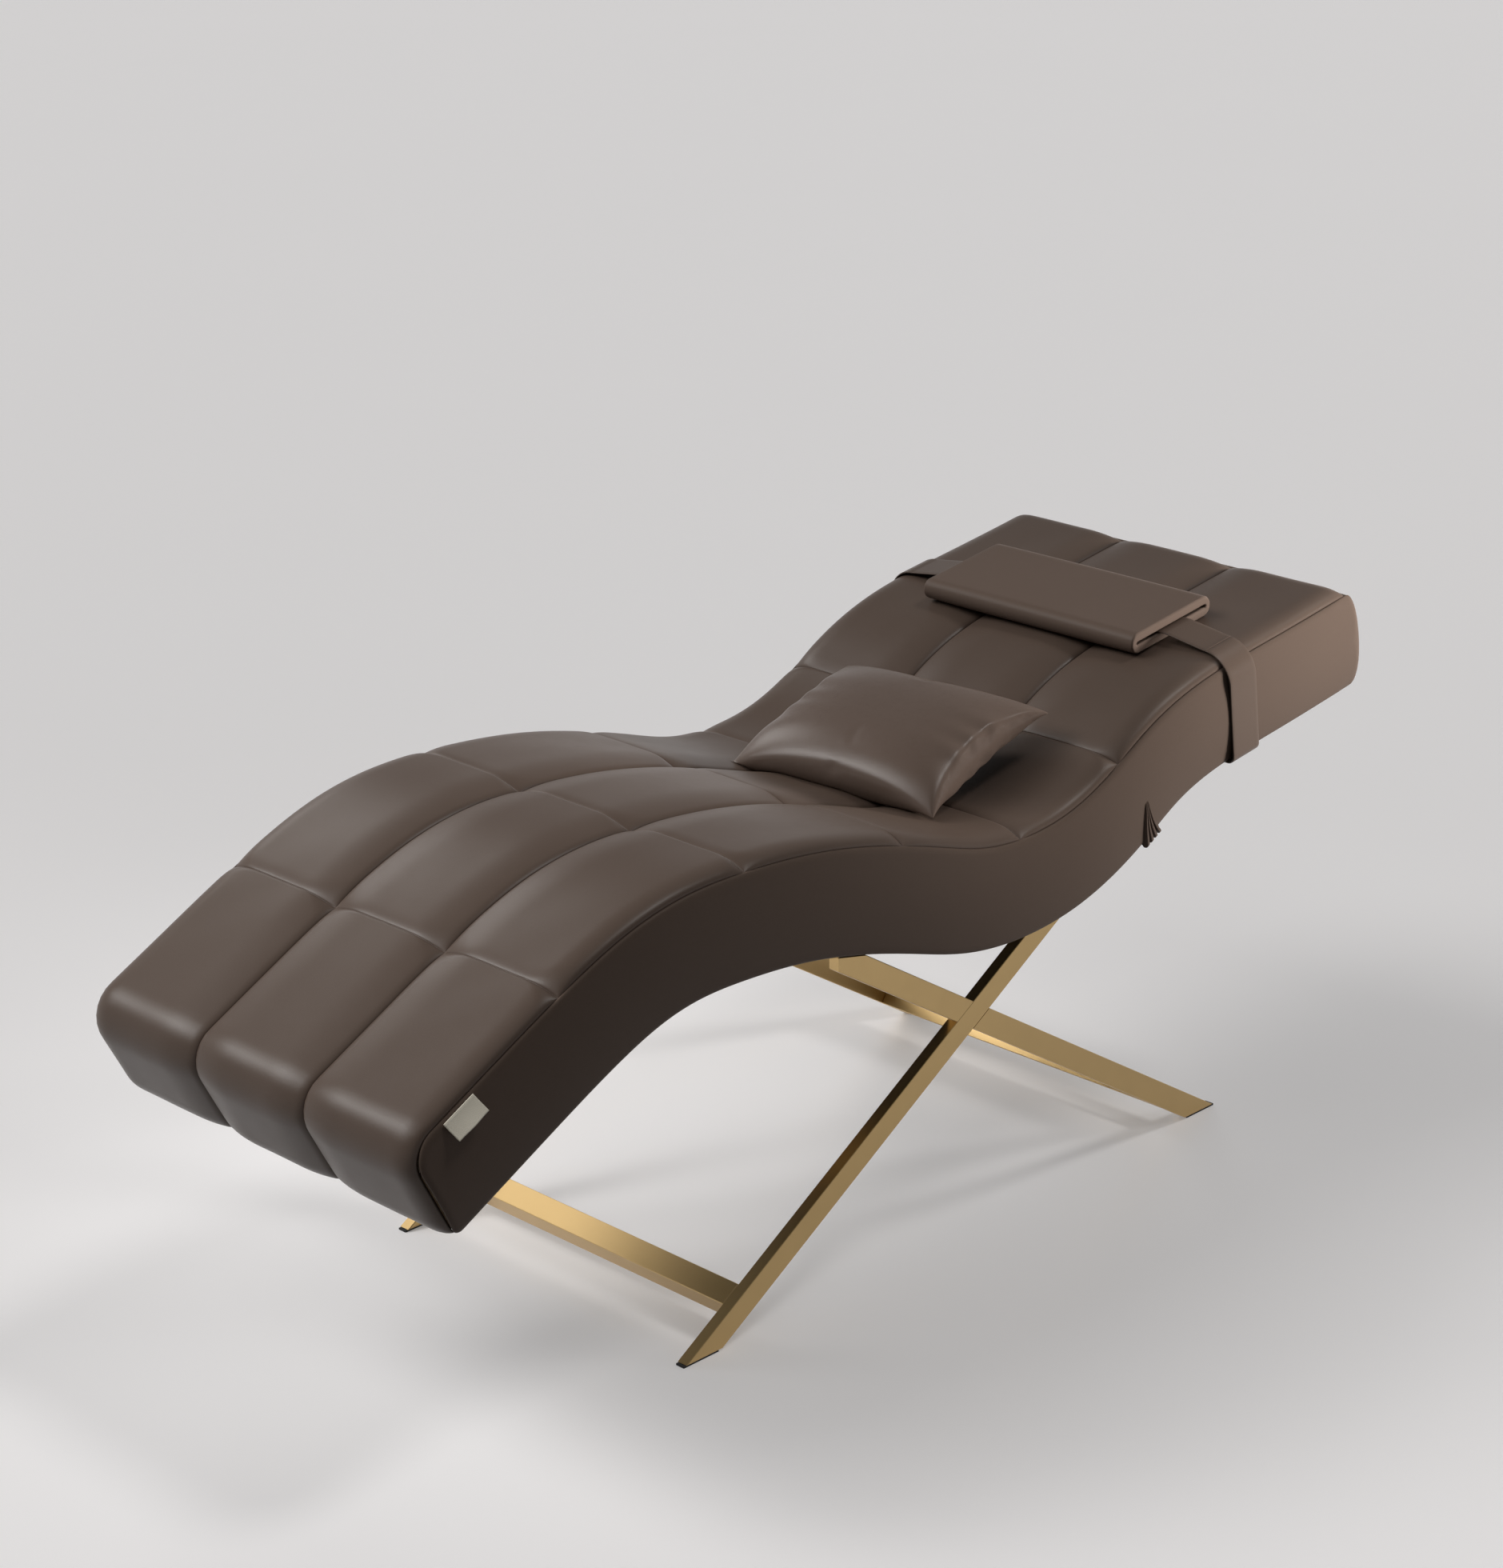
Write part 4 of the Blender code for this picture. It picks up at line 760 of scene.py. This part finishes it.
PLEAT_FOLDS = 4
PLEAT_CREST = 0.35
PLEAT_ROOT = 0.0012
PLEAT_SHARE = 0.700
PLEAT_HEIGHT = 0.064
PLEAT_HEM = 0.011
PLEAT_TOP_WIDTH = 0.006
PLEAT_BOTTOM_WIDTH = 0.038
PLEAT_LEAN = 0.008
PLEAT_PROUD = 0.0085
PLEAT_GAP_DEPTH = 0.0050
PLEAT_BOW = 0.0045
PLEAT_WALL = 0.0009


def pleats(word, side):
    """A fan of lobes with deep narrow gaps: down, they widen, bow towards the foot and end round."""
    u = np.linspace(0.0, 1.0, PLEAT_FOLDS * 22 + 1)
    v = 1 - crowded(44, 0.7)[::-1]
    from_middle = np.abs(2 * (u * PLEAT_FOLDS % 1.0) - 1)
    beside = np.clip(from_middle - PLEAT_CREST, 0.0, 1.0) / (1 - PLEAT_CREST)
    fold = np.sqrt(np.clip(1 - beside ** 2, 0.0, 1.0))
    middle = length_at(PLEAT_SHARE)
    width = PLEAT_TOP_WIDTH + (PLEAT_BOTTOM_WIDTH - PLEAT_TOP_WIDTH) * v ** 1.2
    bow = PLEAT_BOW * np.sin(np.pi * v)
    s = middle + (u[None, :] - 0.5) * width[:, None] + (PLEAT_LEAN * (1 - v) - bow)[:, None]
    drop = (PLEAT_HEIGHT + PLEAT_HEM * fold[None, :]) * v[:, None]
    down = BODY_THICKNESS - PLEAT_HEIGHT + drop
    ends = np.sqrt(1 - (np.abs(2 * v - 1)[:, None]) ** 8)
    rise = ((PLEAT_PROUD + PLEAT_GAP_DEPTH) * (0.3 + 0.7 * v[:, None]) * fold[None, :]
            - PLEAT_GAP_DEPTH * v[:, None])
    panel_x = PANEL_OUT - PANEL_BULGE * (2 * np.minimum(down, BODY_THICKNESS) / BODY_THICKNESS - 1) ** 2
    grid = in_body(side * (panel_x - PLEAT_ROOT + rise * ends), s, down)
    return thickened(skin("pleats_" + word + "_folds", grid, turned=side > 0), PLEAT_WALL)


for word, side in (("left", -1), ("right", 1)):
    set_in(pleats(word, side), "couch", SIDE_LEATHER, "taupe_leather", "pleats_" + word)

# Side tag
# A bare strip of cream cotton tape, folded once, its two ends caught in the right side seam, the fold
# curling away from the panel.

TAG_SEAM_SHARE = 0.0354
TAG_WIDTH = 0.054
TAG_DROP = 0.023
TAG_CURL = 0.017
TAG_GAP = 0.0007
TAG_WALL = 0.0006
TAG_FOLD_SHARE = 0.03
TAG_SEWN_SHARE = 0.1
TAG_WAVE = 0.0006
TAG_OFF_SIDE = 0.0011
TAG_BELOW_SEAM = 0.0004
TAG_COLOUR = (0.94, 0.89, 0.76)
TAG_SHADOW = (0.90, 0.84, 0.69)
THREAD_STEP = 0.0045
WEAVE_DEPTH = 0.00016

coords = start("tape_weave")
warp, weft = [Shade.node("ShaderNodeTexWave", {"wave_type": "BANDS", "bands_direction": axis},
                         {"Vector": coords, "Scale": 1 / THREAD_STEP, "Distortion": 0.6, "Detail": 1.0})
              for axis in "YZ"]
TAG_CLOTH = finish(Base_Color=(0.5 * warp + 0.5 * weft).mixed(TAG_SHADOW, TAG_COLOUR),
                   Roughness=0.8 + 0.1 * warp, Normal=relief(0.5 * warp + 0.5 * weft, WEAVE_DEPTH))
middle = length_at(TAG_SEAM_SHARE)
path = np.linspace(0.0, 2.0, 81)
front = path <= 1.0
share = np.where(front, path, 2.0 - path)
fold = np.sqrt(np.clip(1 - ((share - 1 + TAG_FOLD_SHARE) / TAG_FOLD_SHARE).clip(0) ** 2, 0.0, 1.0))
u = np.linspace(-0.5, 0.5, 37)
layer = np.where(front, 1.0, -1.0) * TAG_GAP * fold * np.minimum(share / TAG_SEWN_SHARE, 1.0)
curl = TAG_CURL * share ** 1.2
wave = TAG_WAVE * np.sin(np.pi * 2.3 * (u[None, :] + 0.2)) * share[:, None] ** 2
tag_x = HALF_WIDTH + TAG_OFF_SIDE + (curl + layer)[:, None] + wave
grid = in_body(tag_x, middle + TAG_WIDTH * u[None, :], TAG_DROP * share[:, None] + TAG_BELOW_SEAM)
tag = thickened(skin("side_tag_cloth", grid, turned=True), TAG_WALL, offset=0.0)
set_in(tag, "couch", TAG_CLOTH, "tag_cloth", "side_tag")

# Dust cover
# Black non-woven cloth drawn tight under the boards and stapled to them, cut out round the frame's upper
# ends.

DUST_HALF_WIDTH = 0.3062
DUST_DEPTH = BODY_THICKNESS - 0.0020
DUST_WALL = 0.0007
DUST_SAG = 0.0010
DUST_STEP = 0.010
CUT_MARGIN = 0.0045
DUST_DARK = (0.012, 0.012, 0.013)
DUST_LIGHT = (0.036, 0.036, 0.038)
BOND_STEP = 0.0022
BOND_DEPTH = 0.0002

coords = start("bonded_cloth")
bonds = Shade.node("ShaderNodeTexVoronoi", {"feature": "F1"},
                   {"Vector": coords, "Scale": 1 / BOND_STEP, "Randomness": 0.15})
fibre = noise(coords, 0.0006, detail=4.0)
DUST_CLOTH = finish(Base_Color=(0.5 * bonds + 0.5 * fibre).clamped().mixed(DUST_DARK, DUST_LIGHT),
                    Roughness=0.82 + 0.12 * fibre, Normal=relief(0.6 * bonds + 0.4 * fibre, BOND_DEPTH))


def corners_of(thing):
    """The corners of an object's mesh, one to a row."""
    return np.array([corner.co for corner in thing.data.vertices])


def tree_of(thing):
    """A search tree over an object's faces."""
    return BVHTree.FromPolygons([Vector(corner) for corner in corners_of(thing)],
                                [tuple(face.vertices) for face in thing.data.polygons])


def cut_stretch(name):
    """Stretch of s in which a node of the frame passes through the dust cover's depth, with a margin."""
    corners = corners_of(nodes[name])
    s = np.linspace(0.0, SPINE_LENGTH, 1200)
    place = in_body(0.0, s, DUST_DEPTH)[:, 1:]
    low, high = corners[:, 1:].min(0), corners[:, 1:].max(0)
    outline = tree_of(nodes[name])
    middle_x = float((corners[:, 0].min() + corners[:, 0].max()) / 2)
    inside = []
    for where, (y, z) in zip(s, place):
        if low[0] <= y <= high[0] and low[1] - DUST_STEP <= z <= high[1] + DUST_STEP:
            nearest, normal, _, _ = outline.find_nearest(Vector((middle_x, y, z)))
            if (Vector((middle_x, y, z)) - nearest).dot(normal) < 0:
                inside.append(where)
    return (min(inside) - CUT_MARGIN, max(inside) + CUT_MARGIN) if inside else None


CUTS = []
for name in FRAME_BARS:
    stretch = None if "stretcher" in name else cut_stretch(name)
    if stretch:
        low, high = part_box(name)
        CUTS.append((low.x - CUT_MARGIN, high.x + CUT_MARGIN, *stretch))


def lines_with(start_at, end_at, spacing, marks):
    """Even lines between two ends, with the marks among them and none closer to a mark than a third."""
    lines = np.linspace(start_at, end_at, int((end_at - start_at) / spacing) + 1)
    for mark in marks:
        lines = lines[(np.abs(lines - mark) > spacing / 3) | (lines == start_at) | (lines == end_at)]
    return np.sort(np.concatenate([lines, [mark for mark in marks if start_at < mark < end_at]]))


dust_start, dust_end = BOARD_END - NOSE_RADIUS, SPINE_LENGTH - BOARD_END
x = lines_with(-DUST_HALF_WIDTH, DUST_HALF_WIDTH, DUST_STEP, [mark for cut in CUTS for mark in cut[:2]])
s = lines_with(dust_start, dust_end, DUST_STEP, [mark for cut in CUTS for mark in cut[2:]])
sag = DUST_SAG * (1 - (x / DUST_HALF_WIDTH) ** 2)[None, :] * np.sin(14 * s)[:, None] ** 2
dust = skin("dust_cover_cloth", in_body(x[None, :], s[:, None], DUST_DEPTH + sag), turned=True)
form = bmesh.new()
form.from_mesh(dust.data)
form.faces.ensure_lookup_table()
centre_s, centre_x = np.meshgrid((s[:-1] + s[1:]) / 2, (x[:-1] + x[1:]) / 2, indexing="ij")
removed = np.zeros(centre_s.shape, bool)
for x0, x1, s0, s1 in CUTS:
    removed |= (centre_x > x0) & (centre_x < x1) & (centre_s > s0) & (centre_s < s1)
bmesh.ops.delete(form, geom=[form.faces[number] for number in np.flatnonzero(removed.ravel())],
                 context="FACES")
form.to_mesh(dust.data)
form.free()
thickened(dust, DUST_WALL)
set_in(dust, "couch", DUST_CLOTH, "cover_cloth", "dust_cover")
run_at_depth = in_body(0.0, s, DUST_DEPTH)[:, 1:]
flat_run = np.concatenate([[0.0], np.cumsum(np.linalg.norm(np.diff(run_at_depth, axis=0), axis=1))])
step_area = np.diff(flat_run)[:, None] * np.diff(x)[None, :]
float(step_area[~removed].sum())

# Strap
# A flat leather band, two layers thick, sewn into one loop that passes through the pad's slot, lies over
# the quilting, stands off the sides a little and runs under the couch.

STRAP_WIDTH = 0.062
STRAP_THICKNESS = 0.0024
STRAP_TOP_CLEARANCE = 0.0040
STRAP_DROP_SHARE = 0.60
STRAP_CORNER_RADIUS = 0.022
STRAP_LEAVE_RADIUS = 0.042
STRAP_LAND_RADIUS = 0.060
STRAP_EDGE_RADIUS = 0.048
STRAP_UNDER_RADIUS = 0.012
STRAP_STEP = 0.012

slide = next(joint for joint in frame["joints"] if joint["name"] == "headrest_slide")
SLIDE_ANGLE = math.atan2(slide["axis"][2], slide["axis"][1])
SLIDE_TRAVEL = slide["range_m"][1]
TO_SLIDE = np.array(Matrix.Rotation(-SLIDE_ANGLE, 3, "X"))
FROM_SLIDE = np.array(Matrix.Rotation(SLIDE_ANGLE, 3, "X"))


def in_slide(name):
    """Lowest and highest corner of a node in the frame that the head rest slides along."""
    corners = corners_of(nodes[name]) @ TO_SLIDE.T
    return corners.min(0), corners.max(0)


pad_low, pad_high = in_slide("head_pad")
strap_low, strap_high = in_slide("strap")
STRAP_Y = (strap_low[1] + strap_high[1]) / 2
PAD_MIDDLE = (pad_low[2] + pad_high[2]) / 2


def rounded_run(corners, steps):
    """Points along a closed run whose corners (x, z, radius) are replaced by arcs that meet both sides."""
    points = []
    for i, (x, z, radius) in enumerate(corners):
        here = np.array([x, z])
        before = np.array(corners[i - 1][:2]) - here
        after = np.array(corners[(i + 1) % len(corners)][:2]) - here
        before, after = before / np.linalg.norm(before), after / np.linalg.norm(after)
        half = math.acos(float(np.clip(before @ after, -1, 1))) / 2
        middle = (before + after) / np.linalg.norm(before + after)
        centre = here + middle * radius / math.sin(half)
        start_at = here + before * radius / math.tan(half) - centre
        end_at = here + after * radius / math.tan(half) - centre
        sweep = math.pi - 2 * half
        share = np.linspace(0, 1, steps + 1)[:, None]
        points.append(centre + (np.sin((1 - share) * sweep) * start_at + np.sin(share * sweep) * end_at)
                      / math.sin(sweep))
    return np.concatenate(points)


quilt_points = corners_of(quilt) @ TO_SLIDE.T
in_way = ((quilt_points[:, 1] > STRAP_Y - STRAP_WIDTH / 2)
          & (quilt_points[:, 1] < STRAP_Y + STRAP_WIDTH / 2 + SLIDE_TRAVEL))
puff_z = quilt_points[in_way, 2].max()


def strap_line():
    """The loop seen from its edge: out of the slot, down in a soft S, over the lip, down and under."""
    middle = STRAP_THICKNESS / 2
    side_x = strap_high[0] - middle
    edge_z = puff_z + STRAP_TOP_CLEARANCE + middle
    under_z = strap_low[2] + middle
    leave_x = pad_high[0] + STRAP_CORNER_RADIUS / 2
    land_x = leave_x + STRAP_DROP_SHARE * (side_x - leave_x)
    corners = [(leave_x, PAD_MIDDLE, STRAP_LEAVE_RADIUS), (land_x, edge_z, STRAP_LAND_RADIUS),
               (side_x, edge_z, STRAP_EDGE_RADIUS), (side_x, under_z, STRAP_UNDER_RADIUS)]
    corners += [(-x, z, radius) for x, z, radius in corners[::-1]]
    return rounded_run(corners, 14)


def stadium(depth, thickness, steps, flats):
    """A flat outline (y, z) with half-round front and back and its flats in even steps."""
    radius = thickness / 2
    bend = np.linspace(-np.pi / 2, np.pi / 2, steps)
    flat = np.linspace(1, -1, flats)[1:-1] * (depth / 2 - radius)
    front = depth / 2 - radius + radius * np.cos(bend)
    rise, level = radius * np.sin(bend), np.full_like(flat, radius)
    y = np.concatenate([front, flat, -front, -flat])
    return np.stack([y, np.concatenate([rise, level, -rise, -level])], -1)


def band(line, width, thickness, middle_y):
    """A band along a closed line: its section is a flat rectangle with fully rounded long edges."""
    extra = []
    for a, b in zip(line, np.roll(line, -1, axis=0)):
        count = max(1, int(np.linalg.norm(b - a) / STRAP_STEP))
        extra.append(a + (b - a) * np.linspace(0, 1, count, endpoint=False)[:, None])
    line = np.concatenate(extra)
    ahead = np.roll(line, -1, axis=0) - np.roll(line, 1, axis=0)
    ahead /= np.linalg.norm(ahead, axis=1)[:, None]
    square = np.stack([ahead[:, 1], -ahead[:, 0]], -1)
    across, off = stadium(width, thickness, 7, 12).T
    place = line[:, None, :] + off[None, :, None] * square[:, None, :]
    return np.stack([place[..., 0], middle_y + across[None, :] + 0 * place[..., 0], place[..., 1]], -1)


strap_grid = band(strap_line(), STRAP_WIDTH, STRAP_THICKNESS, STRAP_Y) @ FROM_SLIDE.T
strap = skin("strap_band", strap_grid, round_rows=True, round_columns=True)
capped(strap)
set_in(strap, "headrest", SEAT_LEATHER, "taupe_leather", "strap")

# Head pad
# A foam pad in a sleeve of smooth leather, its long edges fully round, with a slot through its whole width
# that the strap runs in.

PAD_COLOUR = (0.138, 0.100, 0.080)
PAD_DEEP = (0.118, 0.084, 0.066)
PAD_SLOT_MARGIN = 0.012
PAD_SLOT_HEIGHT = 0.0040
PAD_END_ROUND = 0.0035
PAD_SWELL = 0.0008
PAD_STEPS = 46

PAD_LEATHER = leather("sleeve_leather", PAD_COLOUR, PAD_DEEP, 0.38, gloss=0.10)


def head_pad():
    """A sleeve: its section slides from the outer outline to the slot's over two rounded end faces.

    The walk goes along the outside, round the right end, back through the slot and round the left end.
    """
    half = (pad_high[0] - pad_low[0]) / 2
    depth = pad_high[1] - pad_low[1]
    outer = stadium(depth, pad_high[2] - pad_low[2], 14, 28)
    slot = stadium(depth - 2 * PAD_SLOT_MARGIN, PAD_SLOT_HEIGHT, 14, 28)
    turn = np.linspace(0, np.pi / 2, 7)
    radius, wall = PAD_END_ROUND, PAD_SLOT_MARGIN
    out_x = np.linspace(-half + radius, half - radius, PAD_STEPS)
    end_x = np.concatenate([half - radius + radius * np.sin(turn)[1:], np.full(5, half),
                            half - radius + radius * np.cos(turn)])
    end_in = np.concatenate([radius * (1 - np.cos(turn))[1:], np.linspace(radius, wall - radius, 7)[1:-1],
                             wall - radius + radius * np.sin(turn)]) / wall
    walk_x = np.concatenate([out_x, end_x, -out_x[1:-1], -end_x[::-1]])
    walk_in = np.concatenate([np.zeros(PAD_STEPS), end_in, np.ones(PAD_STEPS - 2), end_in[::-1]])
    section = outer[None, :, :] * (1 - walk_in)[:, None, None] + slot[None, :, :] * walk_in[:, None, None]
    swell = PAD_SWELL * ((1 - (walk_x / half) ** 4) * (1 - walk_in))[:, None] * np.sign(section[..., 1])
    grid = np.stack([np.broadcast_to(walk_x[:, None], section.shape[:2]), section[..., 0],
                     section[..., 1] + swell], -1) + (pad_low + pad_high) / 2
    return skin("head_pad_sleeve", grid @ FROM_SLIDE.T, round_rows=True, round_columns=True)


pad = capped(head_pad())
set_in(pad, "headrest", PAD_LEATHER, "pad_leather", "head_pad")

# Pillow
# A small loose pillow of soft satin leather, two rectangles sewn round their edge and stuffed, so that its
# corners are drawn out to points and its seam puckers.

PILLOW_COLOUR = (0.126, 0.091, 0.073)
PILLOW_DEEP = (0.107, 0.076, 0.060)
PILLOW_SIZE = (0.376, 0.288, 0.094)
PILLOW_TILT = math.radians(17)
PUCKER_HEIGHT = 0.0026
PUCKER_REACH = 0.030
PUCKER_SEAM = 0.006
PILLOW_TURN = math.radians(4)
PILLOW_DROOP = 0.010
PILLOW_SINK = 0.010
PILLOW_REST_GAP = 0.0008
PILLOW_PULL = 0.060
PILLOW_SLUMP = 0.30
RAY_START = 3.0
CASE_STEPS = (84, 66)
CASE_POWERS = (2.8, 2.6, 0.58)
CASE_FRAMES = 16
CASE_CLOTH = {
    "use_pressure": True, "uniform_pressure_force": 2.5, "shrink_min": -0.025, "quality": 8, "mass": 0.25,
    "tension_stiffness": 60.0, "compression_stiffness": 40.0, "shear_stiffness": 20.0,
    "bending_stiffness": 1.2, "tension_damping": 15.0, "compression_damping": 15.0, "air_damping": 4.0,
}

PILLOW_LEATHER = leather("cushion_leather", PILLOW_COLOUR, PILLOW_DEEP, 0.28, gloss=0.26)


def pillow_case():
    """Two sheets that share their rim, stuffed: points, quads, and each point's share across and along.

    Height is half the thickness times the root of two flat powers, so it's boxy; the rim is drawn in by a
    parabola between its corners.
    """
    columns, rows = CASE_STEPS
    even = [2 * crowded(count, 0.35) - 1 for count in (rows, columns)]
    v, u = np.meshgrid(*even, indexing="ij")
    flat_u, flat_v, root = CASE_POWERS
    boxy = (np.clip(1 - np.abs(u) ** flat_u, 0, 1) * np.clip(1 - np.abs(v) ** flat_v, 0, 1)) ** root
    lift = PILLOW_SIZE[2] / 2 * boxy
    lift *= 1 - PILLOW_SLUMP * v
    x = PILLOW_SIZE[0] / 2 * u * (1 - PILLOW_PULL * (1 - v ** 2) * np.abs(u) ** 2)
    y = PILLOW_SIZE[1] / 2 * v * (1 - PILLOW_PULL * (1 - u ** 2) * np.abs(v) ** 2)
    top = np.stack([x, y, lift], -1)
    number = np.arange(top.shape[0] * top.shape[1]).reshape(top.shape[:2])
    rim = (np.abs(u) > 1 - 1e-9) | (np.abs(v) > 1 - 1e-9)
    under = np.where(rim, number, 0)
    under[~rim] = number.size + np.arange(int((~rim).sum()))
    points = np.concatenate([top.reshape(-1, 3), (top * (1, 1, -1))[~rim]])
    quads = np.concatenate([quads_of(number), quads_of(under)[:, ::-1]])
    shares = np.concatenate([np.stack([u, v], -1).reshape(-1, 2), np.stack([u, v], -1)[~rim]])
    return points, quads, shares


def blown_up(points, quads):
    """The case once its cloth, cut a little too large, has been pressed outwards from inside."""
    case = shape_of("pillow_case", points, quads)
    mesh = case.data
    cloth = case.modifiers.new("stuffing", "CLOTH")
    for setting, value in CASE_CLOTH.items():
        setattr(cloth.settings, setting, value)
    cloth.settings.effector_weights.gravity = 0.0
    cloth.collision_settings.use_collision = False
    cloth.point_cache.frame_start = 1
    cloth.point_cache.frame_end = CASE_FRAMES
    scene = bpy.context.scene
    for number in range(1, CASE_FRAMES + 1):
        scene.frame_set(number)
        bpy.context.view_layer.update()
    settled = case.evaluated_get(bpy.context.evaluated_depsgraph_get())
    co = np.zeros(len(points) * 3)
    settled.data.vertices.foreach_get("co", co)
    bpy.data.objects.remove(case)
    bpy.data.meshes.remove(mesh)
    scene.frame_set(1)
    return co.reshape(-1, 3)


points, quads, shares = pillow_case()
points = blown_up(points, quads)
points = points - (points.min(0) + points.max(0)) / 2
points *= np.array(PILLOW_SIZE) / (points.max(0) - points.min(0))
points[:, 2] -= PILLOW_DROOP * np.abs(shares[:, 0] * shares[:, 1]) ** 4
inward = (1 - np.abs(shares[:, 0])) * PILLOW_SIZE[0] / 2
folds = np.sin(15 * shares[:, 1] + 2.2 * np.sin(4 * shares[:, 1]) + 0.8 * np.sign(shares[:, 0]))
points[:, 2] += (PUCKER_HEIGHT * folds * np.exp(-inward / PUCKER_REACH) * (1 - np.exp(-inward / PUCKER_SEAM))
                 * (1 - shares[:, 1] ** 8))
turn = Matrix.Rotation(PILLOW_TILT, 3, "X") @ Matrix.Rotation(PILLOW_TURN, 3, "Z")
points = points @ np.array(turn).T
low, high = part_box("pillow")
points += np.array((low + high) / 2) - (points.min(0) + points.max(0)) / 2
quilt_tree = tree_of(quilt)


def cover_height(x, y):
    """Height of the quilted cover straight below a point."""
    hit = quilt_tree.ray_cast(Vector((x, y, RAY_START)), Vector((0.0, 0.0, -1.0)))[0]
    return hit.z if hit else -1.0


ground = np.array([cover_height(x, y) for x, y in points[:, :2]])
clearance = (points[:, 2] - ground)[points[:, 2] < np.median(points[:, 2])]
points[:, 2] -= clearance.min() + PILLOW_SINK
points[:, 2] = np.maximum(points[:, 2], ground + PILLOW_REST_GAP)
pillow = shape_of("pillow_soft", points, quads)
fine = pillow.modifiers.new("fine", "SUBSURF")
fine.levels = fine.render_levels = 1
set_in(pillow, "pillow", PILLOW_LEATHER, "pillow_leather", "pillow")
